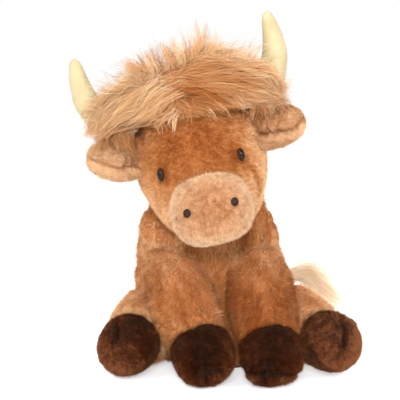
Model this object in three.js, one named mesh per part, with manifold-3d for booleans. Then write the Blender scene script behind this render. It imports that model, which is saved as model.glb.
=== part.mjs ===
// A seated plush highland cow: stuffed body, head and limbs sewn on as separate pieces, felt horns,
// leaf ears, safety eyes with lock washers, and a pellet bag behind a seat panel.
// Millimetres. +Z is up, the cow faces -Y and its left is +X. The origin is the middle of the seat.

import * as THREE from "three";
import { ConvexGeometry } from "three/addons/geometries/ConvexGeometry.js";
import { mergeVertices } from "three/addons/utils/BufferGeometryUtils.js";
import Module from "manifold-3d";

const wasm = await Module();
wasm.setup();

// Gap left between two pieces that touch.
const CLEARANCE = 0.3;

// Body: the spine runs from below the seat up to the neck, and leans aside and forward as it rises.
const BODY_HEIGHT = 163;
const BODY_RISE_SHARES = [-0.07, 0.25, 0.6, 1];
const BODY_LEAN_ASIDE = [0, -1, -6, -12];
const BODY_LEAN_BACK = [0, 1, -4, -10];
const BODY_HALF_WIDTH = 70;
const BODY_HALF_DEPTH = 60;
const BODY_WIDE_SHARES = [1, 1.03, 1, 0.93, 0.84, 0.8, 0.82, 0.87];
const BODY_DEEP_SHARES = [1.03, 1.05, 1, 0.9, 0.72, 0.65, 0.65, 0.62];
const BODY_BLUNT_SHARE = 0.6;

// Seat: a cloth panel let into the body, and the pellet bag that it holds in.
const SEAT_PANEL_RADIUS = 36;
const SEAT_PANEL_THICK = 2.5;
const BEAN_BAG_RADIUS = 30;
const BEAN_BAG_HEIGHT = 26;

// Head: placed by its middle and tilted about the front-to-back axis.
const HEAD_ABOVE_BODY = 8.5;
const HEAD_CENTRE = [-14, -52, BODY_HEIGHT + HEAD_ABOVE_BODY];
const HEAD_TILT_DEG = 14;
const HEAD_SPINE = [
  [0, 2, -66],
  [0, 2, 62],
];
const HEAD_HALF_WIDTH = 54;
const HEAD_HALF_DEPTH = 50;
const HEAD_SHARES = [1, 0.96, 0.95, 0.99, 1, 0.97, 0.96, 0.96];
const HEAD_BLUNT_SHARE = 0.72;

// Everything on the head is given from the head's middle, for its left side.
const MUZZLE_SPINE = [
  [0, -43, -63],
  [0, -45, -36],
  [0, -40, -8],
];
const MUZZLE_HALF_WIDTH = 32.5;
const MUZZLE_HALF_DEPTH = 22;
const MUZZLE_SHARES = [1, 1.02, 1, 0.96, 0.9];
const MUZZLE_BLUNT_SHARE = 0.6;

const NOSTRIL_PLACE = [18, -62.3, -32.7];
const NOSTRIL_FACING = [0.42, -1, 0.1];
const NOSTRIL_HALF_WIDTH = 3.5;
const NOSTRIL_HALF_HEIGHT = 4;
const NOSTRIL_HALF_DEPTH = 3.2;

const EYE_PLACE = [30.6, -39.5, -2.6];
const EYE_FACING = [0.5, -0.85, 0.08];
const EYE_HALF_WIDTH = 3.8;
const EYE_HALF_HEIGHT = 5.7;
const EYE_HALF_DEPTH = 3.8;
const EYE_STEM_RADIUS = 1.8;
const EYE_STEM_LENGTH = 15;
const EYE_WASHER_RADIUS = 7;
const EYE_WASHER_THICK = 2.4;
const EYE_WASHER_DEPTH = 8;

const HORN_SPINE = [
  [36, 2, 33],
  [58, 1, 40],
  [72, 0, 54],
  [76, -1, 75],
  [75, -2, 98],
];
const HORN_RADIUS = 14.5;
const HORN_SHARES = [0.95, 0.97, 0.92, 0.76, 0.64, 0.6];
const HORN_BLUNT_SHARE = 0.6;

// Ears: sewn to the sides of the face. The right one is carried a little higher.
const EAR_LEFT_SPINE = [
  [33, -14, 11],
  [60, -17, 9],
  [85, -13, 11],
];
const EAR_RIGHT_SPINE = [
  [33, -14, 8],
  [60, -17, 13],
  [84, -12, 22],
];
const EAR_HALF_WIDTH = 17.5;
const EAR_HALF_DEPTH = 6.5;
const EAR_SHARES = [0.95, 0.98, 1, 1, 0.98, 0.92];
const EAR_BLUNT_SHARE = 0.68;
const EAR_LINING_LEFT_SPINE = [
  [46, -19, 13],
  [64, -21, 11.5],
  [81, -17, 12.5],
];
const EAR_LINING_RIGHT_SPINE = [
  [46, -19, 11.5],
  [64, -21, 16],
  [80, -16.5, 22.5],
];
const EAR_LINING_HALF_WIDTH = 12;
const EAR_LINING_HALF_DEPTH = 5.4;

// Mane: a cap of long hair over the crown, from horn to horn and down on to the forehead.
const MANE_SPINE = [
  [0, 4, 22],
  [-1, 3, 54],
  [-4, 4, 84],
];
const MANE_HALF_WIDTH = 60;
const MANE_HALF_DEPTH = 55;
const MANE_SHARES = [0.98, 1, 1, 0.92, 0.8, 0.68];
const MANE_BLUNT_SHARE = 0.6;
const MANE_LOCK_LEFT_SPINE = [
  [10, -30, 56],
  [44, -33, 51],
  [75, -25, 45],
];
const MANE_LOCK_RIGHT_SPINE = [
  [10, -30, 58],
  [44, -33, 56],
  [75, -25, 49],
];
const MANE_LOCK_HALF_WIDTH = 17;
const MANE_LOCK_HALF_DEPTH = 13;
const MANE_LOCK_SHARES = [0.9, 1, 1, 0.92, 0.8];

// Front legs: a close pair, from the shoulders to the middles of the hooves.
const SHOULDER_RISE_SHARE = 0.49;
const SHOULDER_MIDDLE = [-2.5, -36, BODY_HEIGHT * SHOULDER_RISE_SHARE];
const SHOULDER_HALF_GAP = 3;
const FRONT_HOOF_MIDDLE = [14, -90, 26];
const FRONT_HOOF_HALF_GAP = 0.5;
const FRONT_LEG_HALF_WIDTH = 29.5;
const FRONT_LEG_HALF_DEPTH = 27;
const FRONT_LEG_SHARES = [1, 1, 0.99, 0.93, 0.87, 0.84];
const FRONT_LEG_BEHIND_JOINT = 25;
const FRONT_HOOF_SHARE = 0.865;
const FRONT_HOOF_RADIUS = FRONT_LEG_HALF_WIDTH * FRONT_HOOF_SHARE;
const FRONT_HOOF_LENGTH = 37;

// Hind legs: from the hip to the middle of the hoof. The left one is splayed further.
const HIP_LEFT = [46, 4, 38];
const HIP_RIGHT = [-46, 4, 38];
const HIND_HOOF_LEFT = [87, -58, 27];
const HIND_HOOF_RIGHT = [-70, -61, 25];
const HIND_LEG_HALF_WIDTH = 32;
const HIND_LEG_HALF_DEPTH = 32;
const HIND_LEG_SHARES = [1, 1.02, 1, 0.94, 0.86, 0.8];
const HIND_LEG_BEHIND_JOINT = 32;
const HIND_HOOF_RADIUS = 24.5;
const HIND_HOOF_LENGTH = 41;

// Both kinds of leg and hoof.
const LEG_BLUNT_SHARE = 0.6;
const LEG_INTO_HOOF = 34;
const HOOF_END = 25;
const HOOF_INTO_LEG = 14;
const HOOF_BLUNT_SHARE = 0.5;
const CLEFT_DEPTH_SHARE = 0.28;
const CLEFT_HALF_ANGLE_DEG = 20;
const CLEFT_START_SHARE = 0.38;
const CLEFT_FULL_SHARE = 0.8;
const FRONT_CLEFT_DEG = 90;
const HIND_CLEFT_LEFT_DEG = 110;
const HIND_CLEFT_RIGHT_DEG = 96;

// Tail: carried round the left hip, with a flat brush at its end.
const TAIL_SPINE = [
  [8, 46, 46],
  [18, 66, 47],
  [46, 65, 53],
  [66, 50, 61],
  [78, 42, 63],
];
const TAIL_RADIUS = 7;
const TUFT_SPINE = [
  [67, 47, 63],
  [90, 33, 60],
  [110, 24, 38],
];
const TUFT_HALF_WIDTH = 15;
const TUFT_HALF_DEPTH = 10;
const TUFT_SHARES = [0.6, 0.9, 1, 0.95, 0.75, 0.5];
const TUFT_BLUNT_SHARE = 0.8;

// Hinges that the clearances are swept through: pivot, axis and range in degrees.
const NECK_BELOW_TOP = 41;
const NECK = { pivot: [-6, -26, BODY_HEIGHT - NECK_BELOW_TOP], axis: [0, 1, 0], low: -5, high: 19 };
const SHOULDER_AXIS = [-1, 0, 0];
const SHOULDER_LOW_DEG = 0;
const SHOULDER_HIGH_DEG = 20;
const HIP_LOW_DEG = 0;
const HIP_HIGH_DEG = 20;
const EAR_PIVOT = [46, -24, 9];
const EAR_LOW_DEG = -8;
const EAR_HIGH_DEG = 20;
const TAIL_HINGE = { pivot: [9, 52, 46], axis: [0, 0, 1], low: 0, high: 60 };
const SWEEP_STEP_DEG = 5;
const NECK_ROOM_FROM_SHARE = 0.5;

// Facets round and along a form.
const BIG = { sides: 18, rings: 11 };
const MIDDLE = { sides: 14, rings: 9 };
const HOOVES = { sides: 18, rings: 8 };
const SMALL = { sides: 12, rings: 7 };

const ALONG_X = new THREE.Vector3(1, 0, 0);
const ALONG_Z = new THREE.Vector3(0, 0, 1);
const MERGE_WITHIN = 1e-4;

const brownPile = cloth(0x9c6234);
const mutedPile = cloth(0xc0915f);
const palePile = cloth(0xd0a37a);
const blond = cloth(0xd0a474);
const darkPile = cloth(0x44261a);
const hornFelt = cloth(0xe9d5a6);
const plainCloth = cloth(0x7a5738);
const glossyBlack = new THREE.MeshStandardMaterial({ color: 0x0d0b0a, roughness: 0.12, metalness: 0 });
const whitePlastic = new THREE.MeshStandardMaterial({ color: 0xe8e8e4, roughness: 0.5, metalness: 0 });

function cloth(color) {
  return new THREE.MeshStandardMaterial({ color, roughness: 0.95, metalness: 0 });
}

function vector(xyz) {
  return new THREE.Vector3(...xyz);
}

// The value at a share of the way through a list of shares that stand at even steps.
function shareAt(shares, along) {
  const place = along * (shares.length - 1);
  const index = Math.min(Math.floor(place), shares.length - 2);
  const before = shares[Math.max(index - 1, 0)];
  const after = shares[Math.min(index + 2, shares.length - 1)];
  const curve = new THREE.CubicBezierCurve(
    new THREE.Vector2(0, shares[index]),
    new THREE.Vector2(0, shares[index] + (shares[index + 1] - before) / 6),
    new THREE.Vector2(0, shares[index + 1] - (after - shares[index]) / 6),
    new THREE.Vector2(0, shares[index + 1]),
  );
  return curve.getPoint(place - index).y;
}

// A stuffed form: oval rings laid along a spine, drawing in to a round pole at each end. The shares
// say how full it is at even steps of the spine. A blunt share of 1 gives the poles of an ellipsoid,
// a lower one squarer ends. From and to stop the form short of a pole with a flat face.
function stuffed({
  spine,
  halfWide,
  halfDeep,
  wideShares = [1, 1],
  deepShares = wideShares,
  blunt = 1,
  across = ALONG_X,
  from = 0,
  to = 1,
  dent = () => 1,
  sides,
  rings,
}) {
  const curve = new THREE.CatmullRomCurve3(spine.map(vector));
  const positions = [];
  const index = [];
  const first = Math.acos(1 - 2 * from);
  const last = Math.acos(1 - 2 * to);
  const startRing = from > 0 ? 0 : 1;
  const endRing = to < 1 ? rings : rings - 1;
  for (let ring = startRing; ring <= endRing; ring += 1) {
    const angle = first + ((last - first) * ring) / rings;
    const along = (1 - Math.cos(angle)) / 2;
    const middle = curve.getPointAt(along);
    const tangent = curve.getTangentAt(along);
    const wide = across.clone().addScaledVector(tangent, -across.dot(tangent)).normalize();
    const deep = tangent.clone().cross(wide);
    const round = Math.sin(angle) ** blunt;
    for (let side = 0; side < sides; side += 1) {
      const turn = (2 * Math.PI * side) / sides;
      const full = round * dent(turn, along);
      const point = middle
        .clone()
        .addScaledVector(wide, halfWide * full * shareAt(wideShares, along) * Math.cos(turn))
        .addScaledVector(deep, halfDeep * full * shareAt(deepShares, along) * Math.sin(turn));
      positions.push(...point);
    }
  }
  const count = endRing - startRing + 1;
  positions.push(...curve.getPointAt(from), ...curve.getPointAt(to));
  const startPole = count * sides;
  const endPole = startPole + 1;
  for (let side = 0; side < sides; side += 1) {
    const next = (side + 1) % sides;
    index.push(startPole, next, side);
    index.push(endPole, (count - 1) * sides + side, (count - 1) * sides + next);
    for (let ring = 0; ring < count - 1; ring += 1) {
      const low = ring * sides;
      const high = low + sides;
      index.push(low + side, low + next, high + side);
      index.push(low + next, high + next, high + side);
    }
  }
  const form = new THREE.BufferGeometry();
  form.setAttribute("position", new THREE.Float32BufferAttribute(positions, 3));
  form.setIndex(index);
  return form;
}

// The same form with its skin moved out along its own normals.
function grown(form, by = CLEARANCE) {
  const skin = welded(form);
  skin.computeVertexNormals();
  const place = skin.getAttribute("position");
  const normal = skin.getAttribute("normal");
  for (let at = 0; at < place.count; at += 1) {
    place.setXYZ(
      at,
      place.getX(at) + normal.getX(at) * by,
      place.getY(at) + normal.getY(at) * by,
      place.getZ(at) + normal.getZ(at) * by,
    );
  }
  return skin;
}

function welded(geometry) {
  const bare = geometry.clone();
  bare.deleteAttribute("normal");
  bare.deleteAttribute("uv");
  return mergeVertices(bare, MERGE_WITHIN);
}

function solidOf(geometry) {
  const bare = welded(geometry);
  return new wasm.Manifold(
    new wasm.Mesh({
      numProp: 3,
      vertProperties: new Float32Array(bare.getAttribute("position").array),
      triVerts: new Uint32Array(bare.index.array),
    }),
  );
}

function geometryOf(solid) {
  const mesh = solid.getMesh();
  const geometry = new THREE.BufferGeometry();
  geometry.setAttribute("position", new THREE.Float32BufferAttribute(mesh.vertProperties, 3));
  geometry.setIndex([...mesh.triVerts]);
  return geometry;
}

function cut(geometry, ...tools) {
  const solid = tools.reduce((left, tool) => left.subtract(solidOf(tool)), solidOf(geometry));
  return geometryOf(solid);
}

function joined(geometry, ...others) {
  const solid = others.reduce((sum, other) => sum.add(solidOf(other)), solidOf(geometry));
  return geometryOf(solid);
}

function turned(geometry, pivot, axis, degrees) {
  const there = vector(pivot);
  const angle = THREE.MathUtils.degToRad(degrees);
  const turn = new THREE.Matrix4().makeRotationAxis(vector(axis).normalize(), angle);
  return geometry
    .clone()
    .translate(-there.x, -there.y, -there.z)
    .applyMatrix4(turn)
    .translate(there.x, there.y, there.z);
}

// Angles over a hinge's range in even steps either side of its rest pose.
function posesOf({ low, high }) {
  const stepsTo = (end) => {
    const count = Math.ceil(Math.abs(end) / SWEEP_STEP_DEG);
    return Array.from({ length: count }, (_, step) => (end * (step + 1)) / count);
  };
  return [0, ...stepsTo(low), ...stepsTo(high)];
}

// The places that a neighbour takes, seen from a piece that a hinge carries. Sense is -1 where the
// piece moves and the neighbour stays, and 1 where the neighbour moves.
function swept(neighbour, hinge, sense = -1) {
  const skin = grown(neighbour);
  return posesOf(hinge).map((degrees) => turned(skin, hinge.pivot, hinge.axis, sense * degrees));
}

function cornersOf(geometry) {
  const place = geometry.getAttribute("position");
  return Array.from({ length: place.count }, (_, at) => new THREE.Vector3().fromBufferAttribute(place, at));
}

// The room that the rounded top of a neighbour takes as a hinge turns: one hull for each step.
function roomOf(neighbour, hinge, above) {
  const kept = cornersOf(grown(neighbour)).filter((corner) => corner.z > above);
  const top = new THREE.BufferGeometry().setFromPoints(kept);
  const poses = posesOf(hinge).sort((one, other) => one - other);
  const corners = poses.map((degrees) => cornersOf(turned(top, hinge.pivot, hinge.axis, -degrees)));
  return corners.slice(1).map((points, step) => new ConvexGeometry([...corners[step], ...points]));
}

// A round bar from one place along a direction.
function bar(radius, start, facing, length, sides = SMALL.sides) {
  const geometry = new THREE.CylinderGeometry(radius, radius, length, sides);
  geometry.translate(0, length / 2, 0);
  geometry.applyQuaternion(new THREE.Quaternion().setFromUnitVectors(new THREE.Vector3(0, 1, 0), facing));
  return geometry.translate(start.x, start.y, start.z);
}

// A block under the floor, which trims what stands on it flat.
function floorBlock() {
  const reach = 4 * BODY_HALF_WIDTH;
  const deep = BODY_HALF_WIDTH;
  return new THREE.BoxGeometry(2 * reach, 2 * reach, deep).translate(0, 0, -deep / 2);
}

const headPlace = new THREE.Matrix4()
  .makeTranslation(...HEAD_CENTRE)
  .multiply(new THREE.Matrix4().makeRotationY(THREE.MathUtils.degToRad(-HEAD_TILT_DEG)));

function onHead(geometry) {
  return geometry.applyMatrix4(headPlace);
}

function mirrored(xyz, side) {
  return [side * xyz[0], xyz[1], xyz[2]];
}

function bodyForm() {
  const spine = BODY_RISE_SHARES.map((share, at) => [
    BODY_LEAN_ASIDE[at],
    BODY_LEAN_BACK[at],
    share * BODY_HEIGHT,
  ]);
  return stuffed({
    spine,
    halfWide: BODY_HALF_WIDTH,
    halfDeep: BODY_HALF_DEPTH,
    wideShares: BODY_WIDE_SHARES,
    deepShares: BODY_DEEP_SHARES,
    blunt: BODY_BLUNT_SHARE,
    ...BIG,
  });
}

function seatDisc(radius, bottom, top) {
  return bar(radius, new THREE.Vector3(0, 0, bottom), ALONG_Z, top - bottom, BIG.sides * 2);
}

function beanBagForm() {
  const base = SEAT_PANEL_THICK + CLEARANCE;
  const startShare = 0.12;
  const drop = (BEAN_BAG_HEIGHT * startShare) / (1 - startShare);
  return stuffed({
    spine: [
      [0, 0, base - drop],
      [0, 0, base + BEAN_BAG_HEIGHT],
    ],
    halfWide: BEAN_BAG_RADIUS,
    halfDeep: BEAN_BAG_RADIUS,
    blunt: BODY_BLUNT_SHARE,
    from: startShare,
    ...MIDDLE,
  });
}

function headForm() {
  return onHead(
    stuffed({
      spine: HEAD_SPINE,
      halfWide: HEAD_HALF_WIDTH,
      halfDeep: HEAD_HALF_DEPTH,
      wideShares: HEAD_SHARES,
      blunt: HEAD_BLUNT_SHARE,
      ...BIG,
    }),
  );
}

function muzzleForm() {
  return onHead(
    stuffed({
      spine: MUZZLE_SPINE,
      halfWide: MUZZLE_HALF_WIDTH,
      halfDeep: MUZZLE_HALF_DEPTH,
      wideShares: MUZZLE_SHARES,
      blunt: MUZZLE_BLUNT_SHARE,
      ...MIDDLE,
    }),
  );
}

function hornForm(side) {
  return onHead(
    stuffed({
      spine: HORN_SPINE.map((at) => mirrored(at, side)),
      halfWide: HORN_RADIUS,
      halfDeep: HORN_RADIUS,
      wideShares: HORN_SHARES,
      blunt: HORN_BLUNT_SHARE,
      across: new THREE.Vector3(0, 1, 0),
      ...MIDDLE,
    }),
  );
}

function earForm(side) {
  return onHead(
    stuffed({
      spine: (side > 0 ? EAR_LEFT_SPINE : EAR_RIGHT_SPINE).map((at) => mirrored(at, side)),
      halfWide: EAR_HALF_WIDTH,
      halfDeep: EAR_HALF_DEPTH,
      wideShares: EAR_SHARES,
      blunt: EAR_BLUNT_SHARE,
      across: ALONG_Z,
      ...MIDDLE,
    }),
  );
}

function earLiningForm(side) {
  return onHead(
    stuffed({
      spine: (side > 0 ? EAR_LINING_LEFT_SPINE : EAR_LINING_RIGHT_SPINE).map((at) => mirrored(at, side)),
      halfWide: EAR_LINING_HALF_WIDTH,
      halfDeep: EAR_LINING_HALF_DEPTH,
      wideShares: EAR_SHARES,
      blunt: EAR_BLUNT_SHARE,
      across: ALONG_Z,
      ...SMALL,
    }),
  );
}

// An ear folds forward and back about the front edge of its seam, which runs up the head.
function earHinge(side) {
  const pivot = vector(mirrored(EAR_PIVOT, side)).applyMatrix4(headPlace);
  const axis = vector([0, 0, -side]).transformDirection(headPlace);
  return { pivot: [...pivot], axis: [...axis], low: EAR_LOW_DEG, high: EAR_HIGH_DEG };
}

// The cap of hair, and the lock that falls from it to each side across the horn.
function maneForm() {
  const cap = onHead(
    stuffed({
      spine: MANE_SPINE,
      halfWide: MANE_HALF_WIDTH,
      halfDeep: MANE_HALF_DEPTH,
      wideShares: MANE_SHARES,
      blunt: MANE_BLUNT_SHARE,
      ...BIG,
    }),
  );
  const locks = [1, -1].map((side) =>
    onHead(
      stuffed({
        spine: (side > 0 ? MANE_LOCK_LEFT_SPINE : MANE_LOCK_RIGHT_SPINE).map((at) => mirrored(at, side)),
        halfWide: MANE_LOCK_HALF_WIDTH,
        halfDeep: MANE_LOCK_HALF_DEPTH,
        wideShares: MANE_LOCK_SHARES,
        across: ALONG_Z,
        ...MIDDLE,
      }),
    ),
  );
  return joined(cap, ...locks);
}

// An oval dome that faces outward from a place on the head.
function dome(place, facing, halfWide, halfHigh, halfDeep) {
  const geometry = new THREE.SphereGeometry(1, MIDDLE.sides, MIDDLE.rings);
  geometry.scale(halfWide, halfHigh, halfDeep);
  const look = new THREE.Matrix4().lookAt(vector(facing), new THREE.Vector3(), ALONG_Z);
  return onHead(geometry.applyMatrix4(look).translate(...place));
}

function nostril(side, muzzle) {
  const form = dome(
    mirrored(NOSTRIL_PLACE, side),
    mirrored(NOSTRIL_FACING, side),
    NOSTRIL_HALF_WIDTH,
    NOSTRIL_HALF_HEIGHT,
    NOSTRIL_HALF_DEPTH,
  );
  return cut(form, grown(muzzle));
}

// The line of an eye's stem: its start on the head's skin, and the way in.
function eyeLine(side) {
  const start = vector(mirrored(EYE_PLACE, side));
  const inward = vector(mirrored(EYE_FACING, side)).normalize().negate();
  return { start, inward };
}

// A length of an eye's bore, given by its depths below the skin.
function eyeBar(side, radius, fromDepth, toDepth) {
  const { start, inward } = eyeLine(side);
  return onHead(bar(radius, start.clone().addScaledVector(inward, fromDepth), inward, toDepth - fromDepth));
}

function eye(side, head) {
  const form = dome(
    mirrored(EYE_PLACE, side),
    mirrored(EYE_FACING, side),
    EYE_HALF_WIDTH,
    EYE_HALF_HEIGHT,
    EYE_HALF_DEPTH,
  );
  const stem = eyeBar(side, EYE_STEM_RADIUS, -EYE_STEM_RADIUS, EYE_STEM_LENGTH);
  return joined(cut(form, grown(head)), stem);
}

function eyeWasher(side) {
  return cut(
    eyeBar(side, EYE_WASHER_RADIUS, EYE_WASHER_DEPTH, EYE_WASHER_DEPTH + EYE_WASHER_THICK),
    eyeBar(side, EYE_STEM_RADIUS + CLEARANCE, 0, EYE_STEM_LENGTH),
  );
}

// The stepped bore in the head: a narrow one for the stem, a wide one for the washer.
function eyeBore(side) {
  const washerEnd = EYE_WASHER_DEPTH + EYE_WASHER_THICK + CLEARANCE;
  return [
    eyeBar(side, EYE_STEM_RADIUS + CLEARANCE, -EYE_HALF_DEPTH, EYE_STEM_LENGTH + CLEARANCE),
    eyeBar(side, EYE_WASHER_RADIUS + CLEARANCE, EYE_WASHER_DEPTH - CLEARANCE, washerEnd),
  ];
}

// A shallow groove down one side of a hoof, deepening towards its end.
function cleft(atDegrees) {
  const middle = THREE.MathUtils.degToRad(atDegrees);
  return (turn, along) => {
    const off = THREE.MathUtils.euclideanModulo(turn - middle + Math.PI, 2 * Math.PI);
    const away = (off - Math.PI) / THREE.MathUtils.degToRad(CLEFT_HALF_ANGLE_DEG);
    const ramp = THREE.MathUtils.smoothstep(along, CLEFT_START_SHARE, CLEFT_FULL_SHARE);
    return 1 - CLEFT_DEPTH_SHARE * ramp * Math.exp(-away * away);
  };
}

// A leg and its hoof, split by a flat seam across the limb.
function limbForms({ joint, hoof, halfWide, halfDeep, shares, behind, hoofRadius, hoofLength, cleftDeg }) {
  const start = vector(joint);
  const along = vector(hoof).sub(start).normalize();
  const end = vector(hoof).addScaledVector(along, HOOF_END);
  const seam = end.clone().addScaledVector(along, -hoofLength);
  const legStart = start.clone().addScaledVector(along, -behind);
  const legEnd = seam.clone().addScaledVector(along, LEG_INTO_HOOF);
  const legLength = legStart.distanceTo(legEnd);
  const hoofStart = seam.clone().addScaledVector(along, -HOOF_INTO_LEG);
  const wholeHoof = HOOF_INTO_LEG + hoofLength;
  return {
    leg: stuffed({
      spine: [[...legStart], [...legEnd]],
      halfWide,
      halfDeep,
      wideShares: shares,
      blunt: LEG_BLUNT_SHARE,
      to: 1 - LEG_INTO_HOOF / legLength,
      ...MIDDLE,
    }),
    hoof: stuffed({
      spine: [[...hoofStart], [...end]],
      halfWide: hoofRadius,
      halfDeep: hoofRadius,
      blunt: HOOF_BLUNT_SHARE,
      from: (HOOF_INTO_LEG + CLEARANCE) / wholeHoof,
      dent: cleft(cleftDeg),
      ...HOOVES,
    }),
  };
}

// A place to one side of a middle one: side is 1 for the cow's left and -1 for its right.
function beside([x, y, z], side, off) {
  return [x + side * off, y, z];
}

function frontLimb(side) {
  const joint = beside(SHOULDER_MIDDLE, side, FRONT_LEG_HALF_WIDTH + SHOULDER_HALF_GAP);
  const hoof = beside(FRONT_HOOF_MIDDLE, side, FRONT_HOOF_RADIUS + FRONT_HOOF_HALF_GAP);
  return {
    forms: limbForms({
      joint,
      hoof,
      halfWide: FRONT_LEG_HALF_WIDTH,
      halfDeep: FRONT_LEG_HALF_DEPTH,
      shares: FRONT_LEG_SHARES,
      behind: FRONT_LEG_BEHIND_JOINT,
      hoofRadius: FRONT_HOOF_RADIUS,
      hoofLength: FRONT_HOOF_LENGTH,
      cleftDeg: FRONT_CLEFT_DEG,
    }),
    hinge: { pivot: joint, axis: SHOULDER_AXIS, low: SHOULDER_LOW_DEG, high: SHOULDER_HIGH_DEG },
  };
}

function hindLimb(joint, hoof, side, cleftDeg) {
  return {
    forms: limbForms({
      joint,
      hoof,
      halfWide: HIND_LEG_HALF_WIDTH,
      halfDeep: HIND_LEG_HALF_DEPTH,
      shares: HIND_LEG_SHARES,
      behind: HIND_LEG_BEHIND_JOINT,
      hoofRadius: HIND_HOOF_RADIUS,
      hoofLength: HIND_HOOF_LENGTH,
      cleftDeg,
    }),
    hinge: { pivot: joint, axis: [0, 0, side], low: HIP_LOW_DEG, high: HIP_HIGH_DEG },
  };
}

function tailForm() {
  return stuffed({
    spine: TAIL_SPINE,
    halfWide: TAIL_RADIUS,
    halfDeep: TAIL_RADIUS,
    blunt: LEG_BLUNT_SHARE,
    across: ALONG_Z,
    ...MIDDLE,
  });
}

function tuftForm() {
  return stuffed({
    spine: TUFT_SPINE,
    halfWide: TUFT_HALF_WIDTH,
    halfDeep: TUFT_HALF_DEPTH,
    wideShares: TUFT_SHARES,
    blunt: TUFT_BLUNT_SHARE,
    across: ALONG_Z,
    ...MIDDLE,
  });
}

const cow = new THREE.Group();
cow.name = "plush_cow";

function add(name, geometry, material) {
  const piece = welded(geometry);
  piece.computeVertexNormals();
  const mesh = new THREE.Mesh(piece, material);
  mesh.name = name;
  cow.add(mesh);
}

function addSeatAndBody(body) {
  const bag = beanBagForm();
  add(
    "body",
    cut(
      body,
      floorBlock(),
      seatDisc(SEAT_PANEL_RADIUS + CLEARANCE, -CLEARANCE, SEAT_PANEL_THICK + CLEARANCE),
      grown(bag),
    ),
    brownPile,
  );
  add("seat_panel", seatDisc(SEAT_PANEL_RADIUS, 0, SEAT_PANEL_THICK), plainCloth);
  add("bean_bag", bag, plainCloth);
}

function addHead(body) {
  const head = headForm();
  const muzzle = muzzleForm();
  const neckRoom = roomOf(body, NECK, BODY_HEIGHT * NECK_ROOM_FROM_SHARE);
  add("head", cut(head, ...neckRoom, ...eyeBore(1), ...eyeBore(-1)), brownPile);
  add("muzzle", cut(muzzle, grown(head)), palePile);
  const hairCutters = [grown(head)];
  for (const [word, side] of [
    ["left", 1],
    ["right", -1],
  ]) {
    const horn = hornForm(side);
    const ear = earForm(side);
    const hinge = earHinge(side);
    add(`eye_${word}`, eye(side, head), glossyBlack);
    add(`eye_washer_${word}`, eyeWasher(side), whitePlastic);
    add(`nostril_${word}`, nostril(side, muzzle), darkPile);
    add(`horn_${word}`, cut(horn, grown(head)), hornFelt);
    add(`ear_${word}`, cut(ear, ...swept(head, hinge), ...swept(horn, hinge)), mutedPile);
    add(`ear_lining_${word}`, cut(earLiningForm(side), grown(ear), ...swept(head, hinge)), palePile);
    hairCutters.push(grown(horn), ...swept(ear, hinge, 1));
  }
  add("mane", cut(maneForm(), ...hairCutters), blond);
}

function addLimbs(body) {
  const frontLeft = frontLimb(1);
  const frontRight = frontLimb(-1);
  const hindLeft = hindLimb(HIP_LEFT, HIND_HOOF_LEFT, 1, HIND_CLEFT_LEFT_DEG);
  const hindRight = hindLimb(HIP_RIGHT, HIND_HOOF_RIGHT, -1, HIND_CLEFT_RIGHT_DEG);
  for (const [name, limb, neighbours] of [
    ["front_leg_left", frontLeft, []],
    ["front_leg_right", frontRight, []],
    ["hind_leg_left", hindLeft, [frontLeft.forms.leg]],
    ["hind_leg_right", hindRight, [frontRight.forms.leg]],
  ]) {
    const trims = neighbours.map((form) => grown(form));
    add(name, cut(limb.forms.leg, ...swept(body, limb.hinge), floorBlock(), ...trims), brownPile);
    add(name.replace("leg", "hoof"), cut(limb.forms.hoof, floorBlock()), darkPile);
  }
}

function addTail(body) {
  const tuft = tuftForm();
  add("tail", cut(tailForm(), ...swept(body, TAIL_HINGE), grown(tuft)), brownPile);
  add("tail_tuft", tuft, blond);
}

const body = bodyForm();
addSeatAndBody(body);
addHead(body);
addLimbs(body);
addTail(body);

export default cow;
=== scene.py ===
"""Looks of the seated plush cow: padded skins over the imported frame, short pile, long mane and tuft.

Sizes below are in millimetres and turned into metres once, by MM. The cow faces -Y, its left is +X.
"""

import math
from collections import namedtuple

import bpy
import numpy as np
from mathutils import Matrix, Vector
from mathutils.bvhtree import BVHTree


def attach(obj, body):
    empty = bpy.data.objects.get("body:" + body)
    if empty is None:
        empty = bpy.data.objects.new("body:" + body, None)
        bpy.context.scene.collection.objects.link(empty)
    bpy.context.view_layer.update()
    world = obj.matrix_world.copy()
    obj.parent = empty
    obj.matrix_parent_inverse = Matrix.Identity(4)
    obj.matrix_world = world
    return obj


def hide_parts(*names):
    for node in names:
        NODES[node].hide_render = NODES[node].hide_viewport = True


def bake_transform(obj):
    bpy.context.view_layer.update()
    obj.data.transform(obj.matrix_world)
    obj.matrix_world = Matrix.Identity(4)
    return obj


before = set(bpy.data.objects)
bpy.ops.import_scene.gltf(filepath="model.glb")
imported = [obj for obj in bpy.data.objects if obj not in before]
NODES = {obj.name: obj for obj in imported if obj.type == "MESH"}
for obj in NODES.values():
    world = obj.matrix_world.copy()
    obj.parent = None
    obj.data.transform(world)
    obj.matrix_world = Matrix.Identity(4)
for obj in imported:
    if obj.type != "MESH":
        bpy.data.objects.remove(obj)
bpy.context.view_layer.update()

MM = 0.001
scene = bpy.context.scene

# The share of the strands that are made. Where it is less, each strand's width is divided by THINNING.
SHARE = 1.0
THINNING = math.sqrt(SHARE)
# How far the skins, the pile and the tuft keep above the floor.
SKIN_GAP, PILE_ROOT_GAP, PILE_TIP_GAP, TUFT_GAP = 0.4, 0.15, 0.1, 1.0

SIDES = (("left", 1), ("right", -1))

# Where the head sits and how it tilts, in the row frame.
HEAD_AT = np.array([-14.0, -52.0, 171.5])
HEAD_TILT = math.radians(-14)
HEAD_TURN = np.array(
    [
        [math.cos(HEAD_TILT), 0, math.sin(HEAD_TILT)],
        [0, 1, 0],
        [-math.sin(HEAD_TILT), 0, math.cos(HEAD_TILT)],
    ]
)


def on_head(points):
    return np.asarray(points, float) @ HEAD_TURN.T + HEAD_AT


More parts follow.
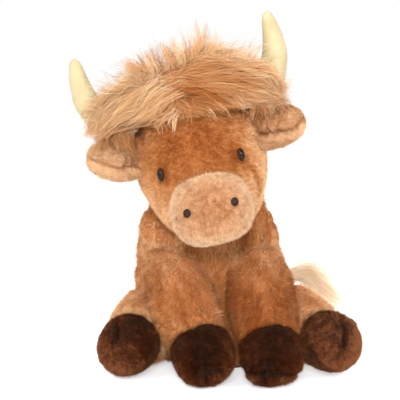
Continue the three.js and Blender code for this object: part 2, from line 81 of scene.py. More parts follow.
def from_head(points):
    return (np.asarray(points, float) - HEAD_AT) @ HEAD_TURN


def unit(v):
    return v / np.maximum(np.linalg.norm(v, axis=-1, keepdims=True), 1e-9)


def clamp(values):
    """Values kept between 0 and 1."""
    return np.clip(values, 0, 1)


def above_floor(points, gap=SKIN_GAP):
    points[..., 2] = np.maximum(points[..., 2], gap)
    return points


def set_all(target, **values):
    for name, value in values.items():
        setattr(target, name, value)
    return target


def linear(r, g, b):
    """An sRGB colour given as 0 to 255, as linear values."""
    c = np.array([r, g, b]) / 255
    c = np.where(c <= 0.04045, c / 12.92, ((c + 0.055) / 1.055) ** 2.4)
    return (float(c[0]), float(c[1]), float(c[2]), 1.0)


def waves(points, size, seed, count=9):
    """Smooth, repeatable noise at points: about -1 to 1, with bumps of the given size."""
    rng = np.random.default_rng(seed)
    way = unit(rng.normal(size=(count, 3)))
    rate = (2 * math.pi / size) * rng.uniform(0.5, 1.1, count)
    phase = rng.uniform(0, 2 * math.pi, count)
    return np.sin(points @ (way * rate[:, None]).T + phase).sum(1) / math.sqrt(count)


def wave_vectors(points, size, seed):
    return np.stack([waves(points, size, seed + i) for i in range(3)], 1)


# Meshes


def link(name, mesh):
    obj = bpy.data.objects.new(name, mesh)
    scene.collection.objects.link(obj)
    return obj


def modify(obj, kind, **values):
    return set_all(obj.modifiers.new(kind.lower(), kind), **values)


def apply_modifiers(obj):
    with bpy.context.temp_override(object=obj, active_object=obj, selected_objects=[obj]):
        for name in [m.name for m in obj.modifiers]:
            bpy.ops.object.modifier_apply(modifier=name)


def coords(obj):
    """Vertices and their normals, in millimetres."""
    mesh = obj.data
    co = np.zeros(len(mesh.vertices) * 3, np.float32)
    mesh.vertices.foreach_get("co", co)
    no = np.zeros(len(mesh.vertices) * 3, np.float32)
    mesh.vertex_normals.foreach_get("vector", no)
    return co.reshape(-1, 3).astype(float) / MM, no.reshape(-1, 3).astype(float)


def smooth_shaded(obj):
    for polygon in obj.data.polygons:
        polygon.use_smooth = True


def set_coords(obj, points):
    obj.data.vertices.foreach_set("co", (points * MM).astype(np.float32).ravel())
    obj.data.update()


def triangles(obj):
    mesh = obj.data
    mesh.calc_loop_triangles()
    tri = np.zeros(len(mesh.loop_triangles) * 3, np.int32)
    mesh.loop_triangles.foreach_get("vertices", tri)
    return tri.reshape(-1, 3)


def join_copies(name, parts):
    """One new object of copies of several meshes."""
    made = [link(f"{name}_{i}", p.data.copy()) for i, p in enumerate(parts)]
    if len(made) > 1:
        with bpy.context.temp_override(
            object=made[0], active_object=made[0], selected_editable_objects=made, selected_objects=made
        ):
            bpy.ops.object.join()
    made[0].name = name
    made[0].data.materials.clear()
    return made[0]


def tree_of(obj):
    co, _ = coords(obj)
    return BVHTree.FromPolygons([Vector(c) for c in co], [list(t) for t in triangles(obj)])


KEPT_TREES = {}


def kept_tree(obj):
    """The tree of an object that no longer changes, made once."""
    if obj.name not in KEPT_TREES:
        KEPT_TREES[obj.name] = tree_of(obj)
    return KEPT_TREES[obj.name]


def covered(points, normals, trees, within):
    """1 where a point is pressed against a neighbour or lies inside it."""
    out = np.zeros(len(points))
    for tree in trees:
        for i, p in enumerate(points):
            if out[i]:
                continue
            spot, normal, _, distance = tree.find_nearest(Vector(p), 12)
            if spot is None:
                continue
            inside = (Vector(p) - spot).dot(normal) < 0
            facing = normal.dot(Vector(normals[i])) < -0.7
            if inside or (distance < within and facing):
                out[i] = 1
    return out


def smooth_field(obj, values, times=2):
    """Spreads a value per vertex over its neighbours along the edges."""
    edges = np.zeros(len(obj.data.edges) * 2, np.int32)
    obj.data.edges.foreach_get("vertices", edges)
    edges = edges.reshape(-1, 2)
    count = np.bincount(edges.ravel(), minlength=len(values)).astype(float)
    for _ in range(times):
        total = np.bincount(edges[:, 0], values[edges[:, 1]], len(values))
        total += np.bincount(edges[:, 1], values[edges[:, 0]], len(values))
        values = 0.5 * values + 0.5 * total / np.maximum(count, 1)
    return values


# Padded skins

HEAD_NEIGHBOURS = ("body", "muzzle", "horn_left", "horn_right", "ear_left", "ear_right")
LEGS = ("front_leg_left", "front_leg_right", "hind_leg_left", "hind_leg_right")

# For each padded node: the other nodes filled in with it, the voxel, the inset, the furthest that
# the stuffing may push it out, and the neighbours that it is sewn against.
Padding = namedtuple("Padding", "filled voxel inset cap neighbours")
PADDED = {
    "body": Padding(("seat_panel", "bean_bag"), 4.5, 2.6, 2.4, ("head", *LEGS)),
    "head": Padding((), 4.0, 2.4, 2.2, HEAD_NEIGHBOURS),
    "muzzle": Padding((), 2.6, 1.4, 1.6, ("head",)),
    "front_leg_left": Padding((), 3.4, 2.4, 2.2, ("body", "front_hoof_left", "front_leg_right")),
    "front_leg_right": Padding((), 3.4, 2.4, 2.2, ("body", "front_hoof_right", "front_leg_left")),
    "hind_leg_left": Padding((), 3.4, 2.4, 2.2, ("body", "hind_hoof_left", "front_leg_left")),
    "hind_leg_right": Padding((), 3.4, 2.4, 2.2, ("body", "hind_hoof_right", "front_leg_right")),
    "front_hoof_left": Padding((), 2.8, 2.0, 1.8, ("front_leg_left",)),
    "front_hoof_right": Padding((), 2.8, 2.0, 1.8, ("front_leg_right",)),
    "hind_hoof_left": Padding((), 2.8, 2.0, 1.8, ("hind_leg_left",)),
    "hind_hoof_right": Padding((), 2.8, 2.0, 1.8, ("hind_leg_right",)),
    "horn_left": Padding((), 2.6, 0.6, 1.0, ("head",)),
    "horn_right": Padding((), 2.6, 0.6, 1.0, ("head",)),
    "ear_left": Padding((), 2.0, 1.2, 1.0, ("head",)),
    "ear_right": Padding((), 2.0, 1.2, 1.0, ("head",)),
    "ear_lining_left": Padding((), 1.6, 0.8, 0.8, ("ear_left", "head")),
    "ear_lining_right": Padding((), 1.6, 0.8, 0.8, ("ear_right", "head")),
    "tail": Padding((), 2.2, 1.6, 1.0, ("body", "tail_tuft")),
    "mane": Padding((), 4.0, 4.5, 1.0, ("head", "horn_left", "horn_right", "ear_left", "ear_right")),
}


def eye_plug(side):
    """A short bar that fills an eye's bore in the head's skin."""
    place = on_head([side * 30.6, -39.5, -2.6])
    inward = unit(np.array([-side * 0.5, 0.85, -0.08])) @ HEAD_TURN.T
    middle = place + inward * 11
    turn = Vector(inward).to_track_quat("Z", "Y")
    bpy.ops.mesh.primitive_cylinder_add(
        vertices=20, radius=9 * MM, depth=15 * MM, location=Vector(middle * MM), rotation=turn.to_euler()
    )
    plug = bpy.context.object
    plug.data.transform(plug.matrix_world)
    plug.matrix_world = Matrix.Identity(4)
    return plug


def skin_of(node):
    pad = PADDED[node]
    parts = [NODES[n] for n in (node, *pad.filled)]
    plugs = [eye_plug(side) for _, side in SIDES] if node == "head" else []
    skin = join_copies(f"{node}_skin", [*parts, *plugs])
    for plug in plugs:
        bpy.data.objects.remove(plug)
    modify(skin, "REMESH", mode="VOXEL", voxel_size=pad.voxel * MM)
    modify(skin, "SMOOTH", factor=0.5, iterations=5)
    apply_modifiers(skin)
    co, no = coords(skin)
    set_coords(skin, above_floor(co - no * pad.inset))
    co, no = coords(skin)
    held = covered(co, no, [kept_tree(NODES[n]) for n in pad.neighbours], pad.inset + 2.6)
    group = skin.vertex_groups.new(name="held")
    group.add([int(i) for i in np.nonzero(held > 0)[0]], 1.0, "REPLACE")
    return skin


STUFFING_STEPS = 20


def stuff(skins):
    """Swells every skin at once with cloth pressure, then caps how far it moved and smooths it."""
    before = {node: coords(skin)[0] for node, skin in skins.items()}
    for skin in skins.values():
        cloth = modify(skin, "CLOTH")
        cloth.collision_settings.use_collision = False
        cloth.settings.effector_weights.gravity = 0
        set_all(
            cloth.settings,
            quality=4,
            mass=0.15,
            tension_stiffness=12,
            compression_stiffness=12,
            bending_stiffness=0.4,
            use_pressure=True,
            uniform_pressure_force=4,
            vertex_group_mass="held",
        )
    for step in range(STUFFING_STEPS):
        scene.frame_set(step + 1)
    for skin in skins.values():
        apply_modifiers(skin)
    scene.frame_set(1)
    for node, skin in skins.items():
        move = coords(skin)[0] - before[node]
        far = np.linalg.norm(move, axis=1, keepdims=True)
        capped = move * np.minimum(1, PADDED[node].cap / np.maximum(far, 1e-6))
        set_coords(skin, above_floor(before[node] + capped))
        skin.vertex_groups.clear()
        modify(skin, "SMOOTH", factor=0.5, iterations=2)
        modify(skin, "SUBSURF", levels=1, render_levels=1)
        apply_modifiers(skin)
        smooth_shaded(skin)


# Node groups and materials


def new_material(name):
    material = bpy.data.materials.new(name)
    material.use_nodes = True
    nodes = material.node_tree.nodes
    return material, nodes, material.node_tree.links, nodes["Principled BSDF"]


def set_inputs(node, values):
    for name, value in values.items():
        node.inputs[name].default_value = value


def ramp(nodes, links, factor, stops):
    """Colours along a factor of 0 to 1."""
    node = nodes.new("ShaderNodeValToRGB")
    elements = node.color_ramp.elements
    while len(elements) < len(stops):
        elements.new(0.5)
    for element, (at, colour) in zip(elements, stops):
        element.position = at
        element.color = colour
    links.new(factor, node.inputs["Fac"])
    return node.outputs["Color"]


def noise(nodes, links, scale, detail):
    """Noise over an object's own coordinates."""
    place, made = nodes.new("ShaderNodeTexCoord"), nodes.new("ShaderNodeTexNoise")
    set_inputs(made, {"Scale": scale, "Detail": detail})
    links.new(place.outputs["Object"], made.inputs["Vector"])
    return made.outputs["Fac"]


def grey(value):
    return (value, value, value, 1.0)


# Rows of tint in a strand's UV map.
ROWS = 4


def strand_group():
    """Colour along and across a field of strands, read from their own UV: u picks how light the
    strand is, and v runs root to tip inside one of four rows, each a slightly different tint. Towards
    its root each strand darkens: partly its own darker root, partly painted shade deep in the pile."""
    group = bpy.data.node_groups.new("strand_tone", "ShaderNodeTree")
    face = group.interface
    for label in ("Deep", "Middle", "Light"):
        face.new_socket(label, in_out="INPUT", socket_type="NodeSocketColor")
    face.new_socket("Root", in_out="INPUT", socket_type="NodeSocketFloat")
    face.new_socket("Color", in_out="OUTPUT", socket_type="NodeSocketColor")
    nodes, links = group.nodes, group.links
    inputs, out = nodes.new("NodeGroupInput"), nodes.new("NodeGroupOutput")
    uv = nodes.new("ShaderNodeUVMap")
    uv.uv_map = "OFBake"
    split = nodes.new("ShaderNodeSeparateXYZ")
    links.new(uv.outputs["UV"], split.inputs[0])

    def feed(socket, value):
        if isinstance(value, (int, float)):
            socket.default_value = value
        else:
            links.new(value, socket)

    def maths(kind, *values):
        node = nodes.new("ShaderNodeMath")
        node.operation = kind
        for socket, value in zip(node.inputs, values):
            feed(socket, value)
        return node.outputs[0]

    def mix(kind, factor, a, b):
        node = set_all(nodes.new("ShaderNodeMix"), data_type="RGBA", blend_type=kind)
        for socket, value in ((node.inputs["Factor"], factor), (node.inputs[6], a), (node.inputs[7], b)):
            feed(socket, value)
        return node.outputs[2]

    scaled = maths("MULTIPLY", split.outputs["Y"], float(ROWS))
    along, row = maths("FRACT", scaled), maths("FLOOR", scaled)
    deep_side = maths("MINIMUM", maths("MULTIPLY", split.outputs["X"], 2.0), 1.0)
    light_side = maths("MAXIMUM", maths("MULTIPLY_ADD", split.outputs["X"], 2.0, -1.0), 0.0)
    tone = mix("MIX", deep_side, inputs.outputs["Deep"], inputs.outputs["Middle"])
    tone = mix("MIX", light_side, tone, inputs.outputs["Light"])
    tints = [
        (0.0, (0.95, 0.93, 0.9, 1)),
        (0.34, (1, 0.98, 0.95, 1)),
        (0.67, (1, 1, 1, 1)),
        (1.0, (1, 1.03, 1.08, 1)),
    ]
    tone = mix("MULTIPLY", 1.0, tone, ramp(nodes, links, maths("DIVIDE", row, ROWS - 1.0), tints))
    # darker towards the root: the strands' own darker roots, and partly painted shade deep between the
    # strands
    shade = ramp(nodes, links, along, [(0.06, grey(0.0)), (0.34, grey(0.75)), (0.8, grey(1.0))])
    lift = maths("SUBTRACT", 1.0, inputs.outputs["Root"])
    node = nodes.new("ShaderNodeVectorMath")
    node.operation = "SCALE"
    links.new(tone, node.inputs[0])
    links.new(maths("MULTIPLY_ADD", shade, lift, inputs.outputs["Root"]), node.inputs["Scale"])
    links.new(node.outputs[0], out.inputs["Color"])
    return group


STRAND_TONE = strand_group()


def strand_material(
    name, deep, middle, light, root, rough=0.85, sheen=0.35, glint=0.1, haze=(1.0, 0.76, 0.52)
):
    material, nodes, links, shader = new_material(name)
    tone = nodes.new("ShaderNodeGroup")
    tone.node_tree = STRAND_TONE
    for label, colour in (("Deep", deep), ("Middle", middle), ("Light", light)):
        tone.inputs[label].default_value = linear(*colour)
    tone.inputs["Root"].default_value = root
    links.new(tone.outputs["Color"], shader.inputs["Base Color"])
    set_inputs(
        shader,
        {
            "Roughness": rough,
            "Specular IOR Level": glint,
            "Specular Tint": (*haze, 1),
            "Sheen Weight": sheen,
            "Sheen Roughness": 0.4,
            "Sheen Tint": (*haze, 1),
        },
    )
    return material


def woven_material(name, dark, light, size, bump=0.3, sheen=0.2, tint=(1.0, 0.86, 0.72, 1)):
    """The knitted backing under a pile, or a felt: two tones mottled at one size, with a fine bump."""
    material, nodes, links, shader = new_material(name)
    broad = noise(nodes, links, 1 / (size * MM), 4)
    mottle = ramp(nodes, links, broad, [(0.3, linear(*dark)), (0.7, linear(*light))])
    links.new(mottle, shader.inputs["Base Color"])
    raised = nodes.new("ShaderNodeBump")
    set_inputs(raised, {"Strength": bump, "Distance": 0.0006})
    links.new(noise(nodes, links, 6 / (size * MM), 3), raised.inputs["Height"])
    links.new(raised.outputs["Normal"], shader.inputs["Normal"])
    set_inputs(
        shader,
        {
            "Roughness": 0.95,
            "Specular IOR Level": 0.2,
            "Sheen Weight": sheen,
            "Sheen Roughness": 0.5,
            "Sheen Tint": tint,
        },
    )
    return material


def iris_material(name, rim, middle):
    """A glossy dark dome, black in the middle and brown round its rim."""
    material, nodes, links, shader = new_material(name)
    place = nodes.new("ShaderNodeUVMap")
    place.uv_map = "UVMap"
    parts = nodes.new("ShaderNodeSeparateXYZ")
    links.new(place.outputs["UV"], parts.inputs["Vector"])
    rings = ramp(nodes, links, parts.outputs["Y"], [(0.66, linear(*rim)), (0.78, linear(*middle))])
    links.new(rings, shader.inputs["Base Color"])
    warm = (1.0, 0.93, 0.84, 1)
    set_inputs(shader, {"Roughness": 0.04, "Specular IOR Level": 0.25, "Specular Tint": warm})
    return material


def plastic_material(name, colour):
    """A plain satin plastic with a faint grain in its colour."""
    material, nodes, links, shader = new_material(name)
    darker = linear(*(0.85 * c for c in colour))
    grain = ramp(nodes, links, noise(nodes, links, 900, 2), [(0.35, darker), (0.65, linear(*colour))])
    links.new(grain, shader.inputs["Base Color"])
    shader.inputs["Roughness"].default_value = 0.45
    return material


# Colours are deep, middle and light for strands, and dark and light for cloth.
MATERIALS = {
    "brown": strand_material("brown_pile", (142, 68, 20), (206, 136, 76), (242, 198, 150), 0.76),
    "leg": strand_material("leg_pile", (142, 68, 20), (202, 132, 74), (240, 194, 144), 0.76),
    "pale": strand_material("pale_pile", (164, 104, 62), (222, 180, 140), (244, 214, 182), 0.8, sheen=0.2),
    "ear": strand_material("ear_pile", (156, 84, 34), (200, 143, 94), (240, 200, 156), 0.76),
    "lining": strand_material("lining_pile", (158, 90, 42), (208, 154, 108), (242, 206, 166), 0.78),
    "hoof": strand_material(
        "dark_pile", (34, 12, 3), (80, 37, 16), (150, 92, 58), 0.66, 0.85, 0.18, 0.04, (0.7, 0.36, 0.2)
    ),
    "mane": strand_material(
        "mane_hair", (172, 98, 44), (214, 156, 102), (244, 214, 172), 0.84, 0.6, 0.15, 0.25
    ),
    "tuft": strand_material(
        "tuft_hair", (250, 204, 156), (255, 228, 192), (255, 246, 228), 0.97, 0.6, 0.3, 0.1
    ),
    "felt": strand_material(
        "horn_nap", (174, 158, 122), (194, 181, 149), (210, 200, 174), 0.88, sheen=0.15
    ),
    "brown_cloth": woven_material("brown_backing", (146, 78, 34), (184, 110, 58), 9),
    "pale_cloth": woven_material("pale_backing", (176, 118, 76), (208, 154, 110), 6),
    "hoof_cloth": woven_material("dark_backing", (26, 11, 5), (50, 25, 14), 6, tint=(0.7, 0.36, 0.2, 1)),
    "mane_cloth": woven_material("mane_backing", (158, 92, 44), (212, 152, 96), 5, bump=0.6),
    "horn_cloth": woven_material("horn_felt", (192, 174, 132), (208, 194, 156), 14, bump=0.5),
    "nostril": woven_material("nostril_felt", (32, 19, 16), (66, 45, 37), 2.5, bump=0.8, sheen=0.05),
    "eye": iris_material("eye_gloss", (64, 34, 18), (8, 5, 4)),
    "washer": plastic_material("washer_plastic", (236, 236, 232)),
    "panel": woven_material("seat_cloth", (104, 72, 46), (134, 98, 66), 3, bump=0.5),
}


def dress(obj, key):
    obj.data.materials.clear()
    obj.data.materials.append(MATERIALS[key])


# Strands


def strand_mesh(name, rings, tips, normals, u, rows):
    """Blades from rings of left and right points, each closed by a tip. rings has the shape
    (strands, rings, 2, 3) and tips (strands, 3), in millimetres. normals is one per strand."""
    count, levels = rings.shape[:2]
    per = levels * 2 + 1
    points = np.concatenate([rings.reshape(count, levels * 2, 3), tips[:, None]], 1)
    base = np.arange(count, dtype=np.int64)[:, None] * per
    faces = []
    for level in range(levels - 1):
        a = level * 2
        faces.append([a, a + 1, a + 3])
        faces.append([a, a + 3, a + 2])
    last = (levels - 1) * 2
    faces.append([last, last + 1, last + 2])
    pattern = np.array(faces).ravel()
    loops = (base + pattern[None]).ravel().astype(np.int32)
    mesh = bpy.data.meshes.new(name)
    mesh.vertices.add(count * per)
    mesh.vertices.foreach_set("co", (points * MM).astype(np.float32).ravel())
    mesh.loops.add(len(loops))
    mesh.loops.foreach_set("vertex_index", loops)
    mesh.polygons.add(len(loops) // 3)
    mesh.polygons.foreach_set("loop_start", np.arange(0, len(loops), 3, dtype=np.int32))
    mesh.polygons.foreach_set("use_smooth", np.ones(len(loops) // 3, bool))
    layer = mesh.uv_layers.new(name="OFBake")
    half = 0.0012
    v = np.concatenate([np.repeat(np.linspace(0.08, 0.8, levels), 2), [0.94]])
    v = (v[None] + rows[:, None]) / ROWS
    across = np.tile([-half, half], levels).tolist() + [0.0]
    uu = u[:, None] + np.array(across)[None]
    uv = np.stack([uu, v], 2).reshape(-1, 2)
    layer.data.foreach_set("uv", uv[loops].astype(np.float32).ravel())
    mesh.update()
    mesh.normals_split_custom_set_from_vertices(np.repeat(unit(normals), per, 0).astype(np.float32))
    return link(name, mesh)


def tangent(flow, normal):
    return unit(flow - (flow * normal).sum(1, keepdims=True) * normal)


def scatter(skin, count, rng, weight):
    """Random spots on a skin: places, normals and barycentric shares to read fields with."""
    tri = triangles(skin)
    co, no = coords(skin)
    a, b, c = (co[tri[:, i]] for i in range(3))
    area = np.linalg.norm(np.cross(b - a, c - a), axis=1) * np.clip(weight[tri].mean(1), 0, None)
    pick = rng.choice(len(tri), count, p=area / area.sum())
    r, s = np.sqrt(rng.random(count)), rng.random(count)
    share = np.stack([1 - r, r * (1 - s), r * s], 1)
    spots = (co[tri[pick]] * share[:, :, None]).sum(1)
    normals = unit((no[tri[pick]] * share[:, :, None]).sum(1))
    return spots, normals, lambda field: (
        (field[tri[pick]] * (share[:, :, None] if field.ndim == 2 else share)).sum(1)
    )


# The share of the short pile that stands up.
FUZZ_SHARE = 0.28


def pile(node, skin, key, count, length, flow, seed, lean=78, width=0.31, tone=None, mask=None, parts=1):
    """Short pile over a skin. flow gives the way that it lies at each vertex, tone how light it is
    and mask where it grows. Most of it is brushed flat and the rest stands up as fuzz. It is split
    into several pieces to keep each one light."""
    co, no = coords(skin)
    sewn_to = [kept_tree(skins.get(n, NODES[n])) for n in PADDED[node].neighbours]
    bare = covered(co, no, sewn_to, 1.0)
    weight = clamp(1.7 * (1 - smooth_field(skin, bare, 2)))
    if mask is not None:
        weight = weight * mask(co)
    along = tangent(flow(co), no)
    swirl = waves(co, 11, seed + 1) * 0.45 + waves(co, 5, seed + 2) * 0.3
    along = unit(along * np.cos(swirl)[:, None] + np.cross(no, along) * np.sin(swirl)[:, None])
    rise = np.radians(np.minimum(lean + 4 * waves(co, 7, seed + 3), 86))
    grow = length(co) if callable(length) else np.full(len(co), float(length))
    base_tone = 0.5 + 0.07 * waves(co, 26, seed + 4) + 0.05 * waves(co, 6, seed + 5)
    if tone is not None:
        base_tone = base_tone + tone(co, no)
    made = []
    for part in range(parts):
        rng = np.random.default_rng(seed * 100 + part)
        number = max(200, int(count * SHARE / parts))
        spots, normals, read = scatter(skin, number, rng, weight)
        lie = unit(read(along))
        fuzz = rng.random((number, 1)) < FUZZ_SHARE
        angle = np.where(fuzz, rng.uniform(0.25, 0.8, (number, 1)), read(rise)[:, None])
        tuft_way = wave_vectors(spots, 3.2, seed + 6)
        way = normals * np.cos(angle) + lie * np.sin(angle) + 0.16 * tuft_way
        way = unit(way + rng.normal(0, 0.1, (number, 3)))
        size = read(grow) * rng.uniform(0.72, 1.18, number)
        side = unit(np.cross(way, normals))
        twist = rng.normal(0, 0.45, number)[:, None]
        side = side * np.cos(twist) + np.cross(way, side) * np.sin(twist)
        half = (width / 2 * rng.uniform(0.8, 1.25, number) / THINNING)[:, None]
        root = spots - normals * 0.3
        tip = root + way * size[:, None]
        rings = np.stack([root - side * half, root + side * half], 1)[:, None]
        above_floor(rings, PILE_ROOT_GAP)
        above_floor(tip, PILE_TIP_GAP)
        look = unit(np.cross(side, way))
        look = look * np.sign((look * normals).sum(1))[:, None]
        shading = np.where(fuzz, normals * 0.15 + look, normals * 0.55 + look * 0.5)
        shading = shading + rng.normal(0, 0.1, (number, 3))
        clump = 0.09 * waves(spots, 2.4, seed + 7) + 0.07 * waves(spots, 5, seed + 8)
        u = np.clip(read(base_tone) + clump + rng.normal(0, 0.14, number), 0.02, 0.98)
        rows = rng.integers(0, ROWS, number)
        suffix = f"_{part + 1}" if parts > 1 else ""
        obj = strand_mesh(f"{node}_pile{suffix}", rings, tip, shading, u, rows)
        dress(obj, key)
        made.append(obj)
    return made


def hairs(name, key, paths, width, u, seed, lift):
    """Long hair from paths of the shape (strands, steps, 3). lift gives each strand's outward way."""
    rng = np.random.default_rng(seed)
    count, steps = paths.shape[:2]
    way = unit(np.gradient(paths, axis=1))
    side = unit(np.cross(way, lift[:, None]))
    turn = rng.normal(0, 0.5, (count, 1, 1))
    side = side * np.cos(turn) + np.cross(way, side) * np.sin(turn)
    taper = np.linspace(1, 0.45, steps - 1) ** 0.7
    half = (width / 2) * taper[None, :, None] * rng.uniform(0.7, 1.3, (count, 1, 1)) / THINNING
    left = paths[:, :-1] - side[:, :-1] * half
    right = paths[:, :-1] + side[:, :-1] * half
    rings = np.stack([left, right], 2)
    look = unit(np.cross(side[:, steps // 2], way[:, steps // 2]))
    outward = look * np.sign((look * lift).sum(1))[:, None]
    shading = lift * 0.7 + outward * 0.4 + rng.normal(0, 0.1, (count, 3))
    rows = rng.integers(0, ROWS, count)
    obj = strand_mesh(name, rings, paths[:, -1], shading, np.clip(u, 0.02, 0.98), rows)
    dress(obj, key)
    return obj


# The skins

skins = {node: skin_of(node) for node in PADDED}
stuff(skins)


def shape(node, mover):
    set_coords(skins[node], above_floor(mover(*coords(skins[node]))))


def lumpy(amount, size, seed):
    return lambda co, no: co + no * (amount * waves(co, size, seed))[:, None]


for index, node in enumerate(("body", *LEGS)):
    shape(node, lumpy(0.5, 34, 40 + index))
shape("head", lumpy(0.4, 40, 50))


def gaussian(distance, spread):
    return np.exp(-((distance / spread) ** 2))


def off_line(points, line):
    """How far points are from a line of straight stretches."""
    best = np.full(len(points), 1e9)
    for start, end in zip(line[:-1], line[1:]):
        start, end = np.array(start, float), np.array(end, float)
        span = end - start
        t = clamp(((points - start) @ span) / (span @ span))
        best = np.minimum(best, np.linalg.norm(points - start - t[:, None] * span, axis=1))
    return best


def off_front(points, line, back):
    """How far points are from a line as seen from the front, growing behind the depth back."""
    flat = np.array([1.0, 0.0, 1.0])
    behind = np.clip(points[:, 1] - back, 0, None)
    return off_line(points * flat, np.array(line, float) * flat) + 2 * behind


def filled_towards(nodes, amount):
    """Swells a skin where it nears other skins, so that the two meet in a soft fold. The fold is
    widest over the shoulders and narrow between the front legs and by the floor."""
    trees = [tree_of(skins[n]) for n in nodes]

    def mover(co, no):
        shoulder = clamp((co[:, 2] - 84) / 20) * (co[:, 1] < -20)
        reach = 18 + 14 * shoulder
        near = np.zeros(len(co))
        for tree in trees:
            for i, p in enumerate(co):
                spot, normal, _, distance = tree.find_nearest(Vector(p), reach[i])
                if spot is None:
                    continue
                if (Vector(p) - spot).dot(normal) < -0.5 * distance:
                    distance = 0
                near[i] = max(near[i], (1 - distance / reach[i]) ** 2)
        high = clamp((co[:, 2] - 6) / 12)
        between = 1 - 0.7 * gaussian(co[:, 0] + 2.5, 10) * (co[:, 1] < -30)
        return co + no * (amount * near * high * between * (0.32 + 1.0 * shoulder))[:, None]

    return mover


EYE_AT = [(word, side, np.array([side * 30.6, -39.5, -2.6])) for word, side in SIDES]


def face_folds(co, no):
    """The soft folds of the face: eye sockets, and the crease from each eye down to the muzzle."""
    local = from_head(co)
    move = np.zeros(len(co))
    for _, side, eye in EYE_AT:
        move -= 2.4 * gaussian(np.linalg.norm(local - eye, axis=1), 6.5)
        crease = [(side * 32, -40, -8), (side * 37, -38, -20), (side * 38, -37, -33)]
        off = off_front(local, crease, -14)
        deep = 2.8 if side > 0 else 1.2
        move -= deep * gaussian(off, 2.8)
        move += 0.45 * deep * gaussian(off - 6, 3.4)
    return co + no * move[:, None]


shape("head", face_folds)


def jaw_filled(co, no):
    """Fills the seam between head and muzzle below and on the cow's right, where they blend."""
    tree = tree_of(skins["muzzle"])
    local = from_head(co)
    where = clamp((-local[:, 0] - 4) / 14) + clamp((-46 - local[:, 2]) / 8)
    near = np.array([tree.find_nearest(Vector(p))[3] for p in co])
    swell = 4.2 * clamp(1 - near / 15) ** 2 * clamp(where)
    return co + no * swell[:, None]


def shoulder_rounded(co, no):
    """Rounds the body out over its right shoulder."""
    off = (co - np.array([-54.0, -14.0, 95.0])) / np.array([22.0, 40.0, 23.0])
    return co + np.array([-1.0, -0.2, 0.0]) * (6.0 * gaussian(np.linalg.norm(off, axis=1), 1.0))[:, None]


shape("head", jaw_filled)
shape("body", shoulder_rounded)
fillers = {node: filled_towards(("body",), 3.0) for node in LEGS}
shape("body", filled_towards(LEGS, 7.5))
for node in LEGS:
    shape(node, fillers[node])

# Each hoof: its middle, the joint of its leg, the creases between its toes with their depths and
# widths, and the line of the broad dark shade in its pile.
Hoof = namedtuple("Hoof", "middle joint creases shade")
HOOVES = {
    "front_hoof_left": Hoof(
        (40.0, -90.0, 26.0),
        (30.0, -36.0, 79.9),
        (
            ([(37, -118, 24), (34, -118, 14), (34, -113, 8)], 2.4, 2.4),
            ([(33, -117, 14.5), (26, -116, 15), (19, -111, 14)], 2.2, 2.0),
            ([(35, -117, 14), (46, -118, 14.5), (58, -109, 12.5)], 1.8, 2.0),
        ),
        [(39, -108, 46), (38, -116, 32), (36, -118, 20)],
    ),
    "front_hoof_right": Hoof(
        (-12.0, -90.0, 26.0),
        (-35.0, -36.0, 79.9),
        (
            ([(-10, -118, 19), (-9, -118, 13), (-9, -113, 8)], 2.6, 2.2),
            ([(-8, -118, 17.5), (1, -116, 17)], 1.8, 1.8),
        ),
        [(-16, -108, 46), (-15, -116, 32), (-14, -118, 22)],
    ),
    "hind_hoof_left": Hoof(
        (87.0, -58.0, 27.0),
        (46.0, 4.0, 38.0),
        (([(84, -60, 52), (89, -63.5, 52), (93.6, -71, 48), (97, -77, 40.6), (96, -82, 29)], 4.4, 2.6),),
        [(70, -70, 46), (70, -76, 30), (74, -78, 16)],
    ),
    "hind_hoof_right": Hoof(
        (-70.0, -61.0, 25.0),
        (-46.0, 4.0, 38.0),
        (([(-73, -56, 51), (-75.5, -66, 49), (-77.5, -77, 43), (-77.3, -83, 35)], 4.0, 2.4),),
        [(-62, -66, 46), (-56, -76, 34), (-54, -78, 20)],
    ),
}


def creases(node):
    def mover(co, no):
        move = np.zeros(len(co))
        for line, depth, width in HOOVES[node].creases:
            off = off_front(co, line, HOOVES[node].middle[1])
            move -= 1.3 * depth * gaussian(off, width)
            move += 0.45 * depth * gaussian(off - 2.6 * width, 1.2 * width)
        return co + no * move[:, None]

    return mover


for node in HOOVES:
    shape(node, creases(node))


def limb_axis(node):
    return unit(np.array(HOOVES[node].middle) - np.array(HOOVES[node].joint))


# The middle line of each ear in head axes, mirrored to the cow's left: x, and the height there.
EAR_LINE = {1: ((40, 60, 85), (11, 9, 11)), -1: ((40, 60, 84), (8.5, 13, 22))}


def ear_place(co, side):
    """Where points are on an ear: 0 to 1 from root to tip, and -1 to 1 from lower to upper edge."""
    local = from_head(co)
    x = local[:, 0] * side
    return clamp((x - 46) / 38), (local[:, 2] - np.interp(x, *EAR_LINE[side])) / 17


def ear_crease(along, across, side):
    """How far points are above the crease that runs along an ear, in halves of its height."""
    return across + (0.2 if side > 0 else 0.38 - 0.34 * along)


def ear_cup(along, across):
    """How far an ear's hollow sinks behind its rim."""
    return 2.0 * clamp(1 - (across - 0.3) ** 2) * clamp(1.1 - along)


def ear_front(no):
    """1 on the side of an ear that faces forward."""
    return clamp(-1.5 * (no @ HEAD_TURN[:, 1]))


def ear_fold(side):
    """Cups an ear: its front sinks behind the rim, and a crease splits off a full roll below."""

    def mover(co, no):
        along, across = ear_place(co, side)
        above = ear_crease(along, across, side)
        crease = 3.4 * gaussian(above - 0.02, 0.12) * clamp((0.98 - along) / 0.25)
        roll = 2.4 * gaussian(above + 0.38, 0.26)
        sunk = ear_front(no) * (ear_cup(along, across) * (above > 0) + crease - roll)
        return co + HEAD_TURN[:, 1] * sunk[:, None]

    return mover


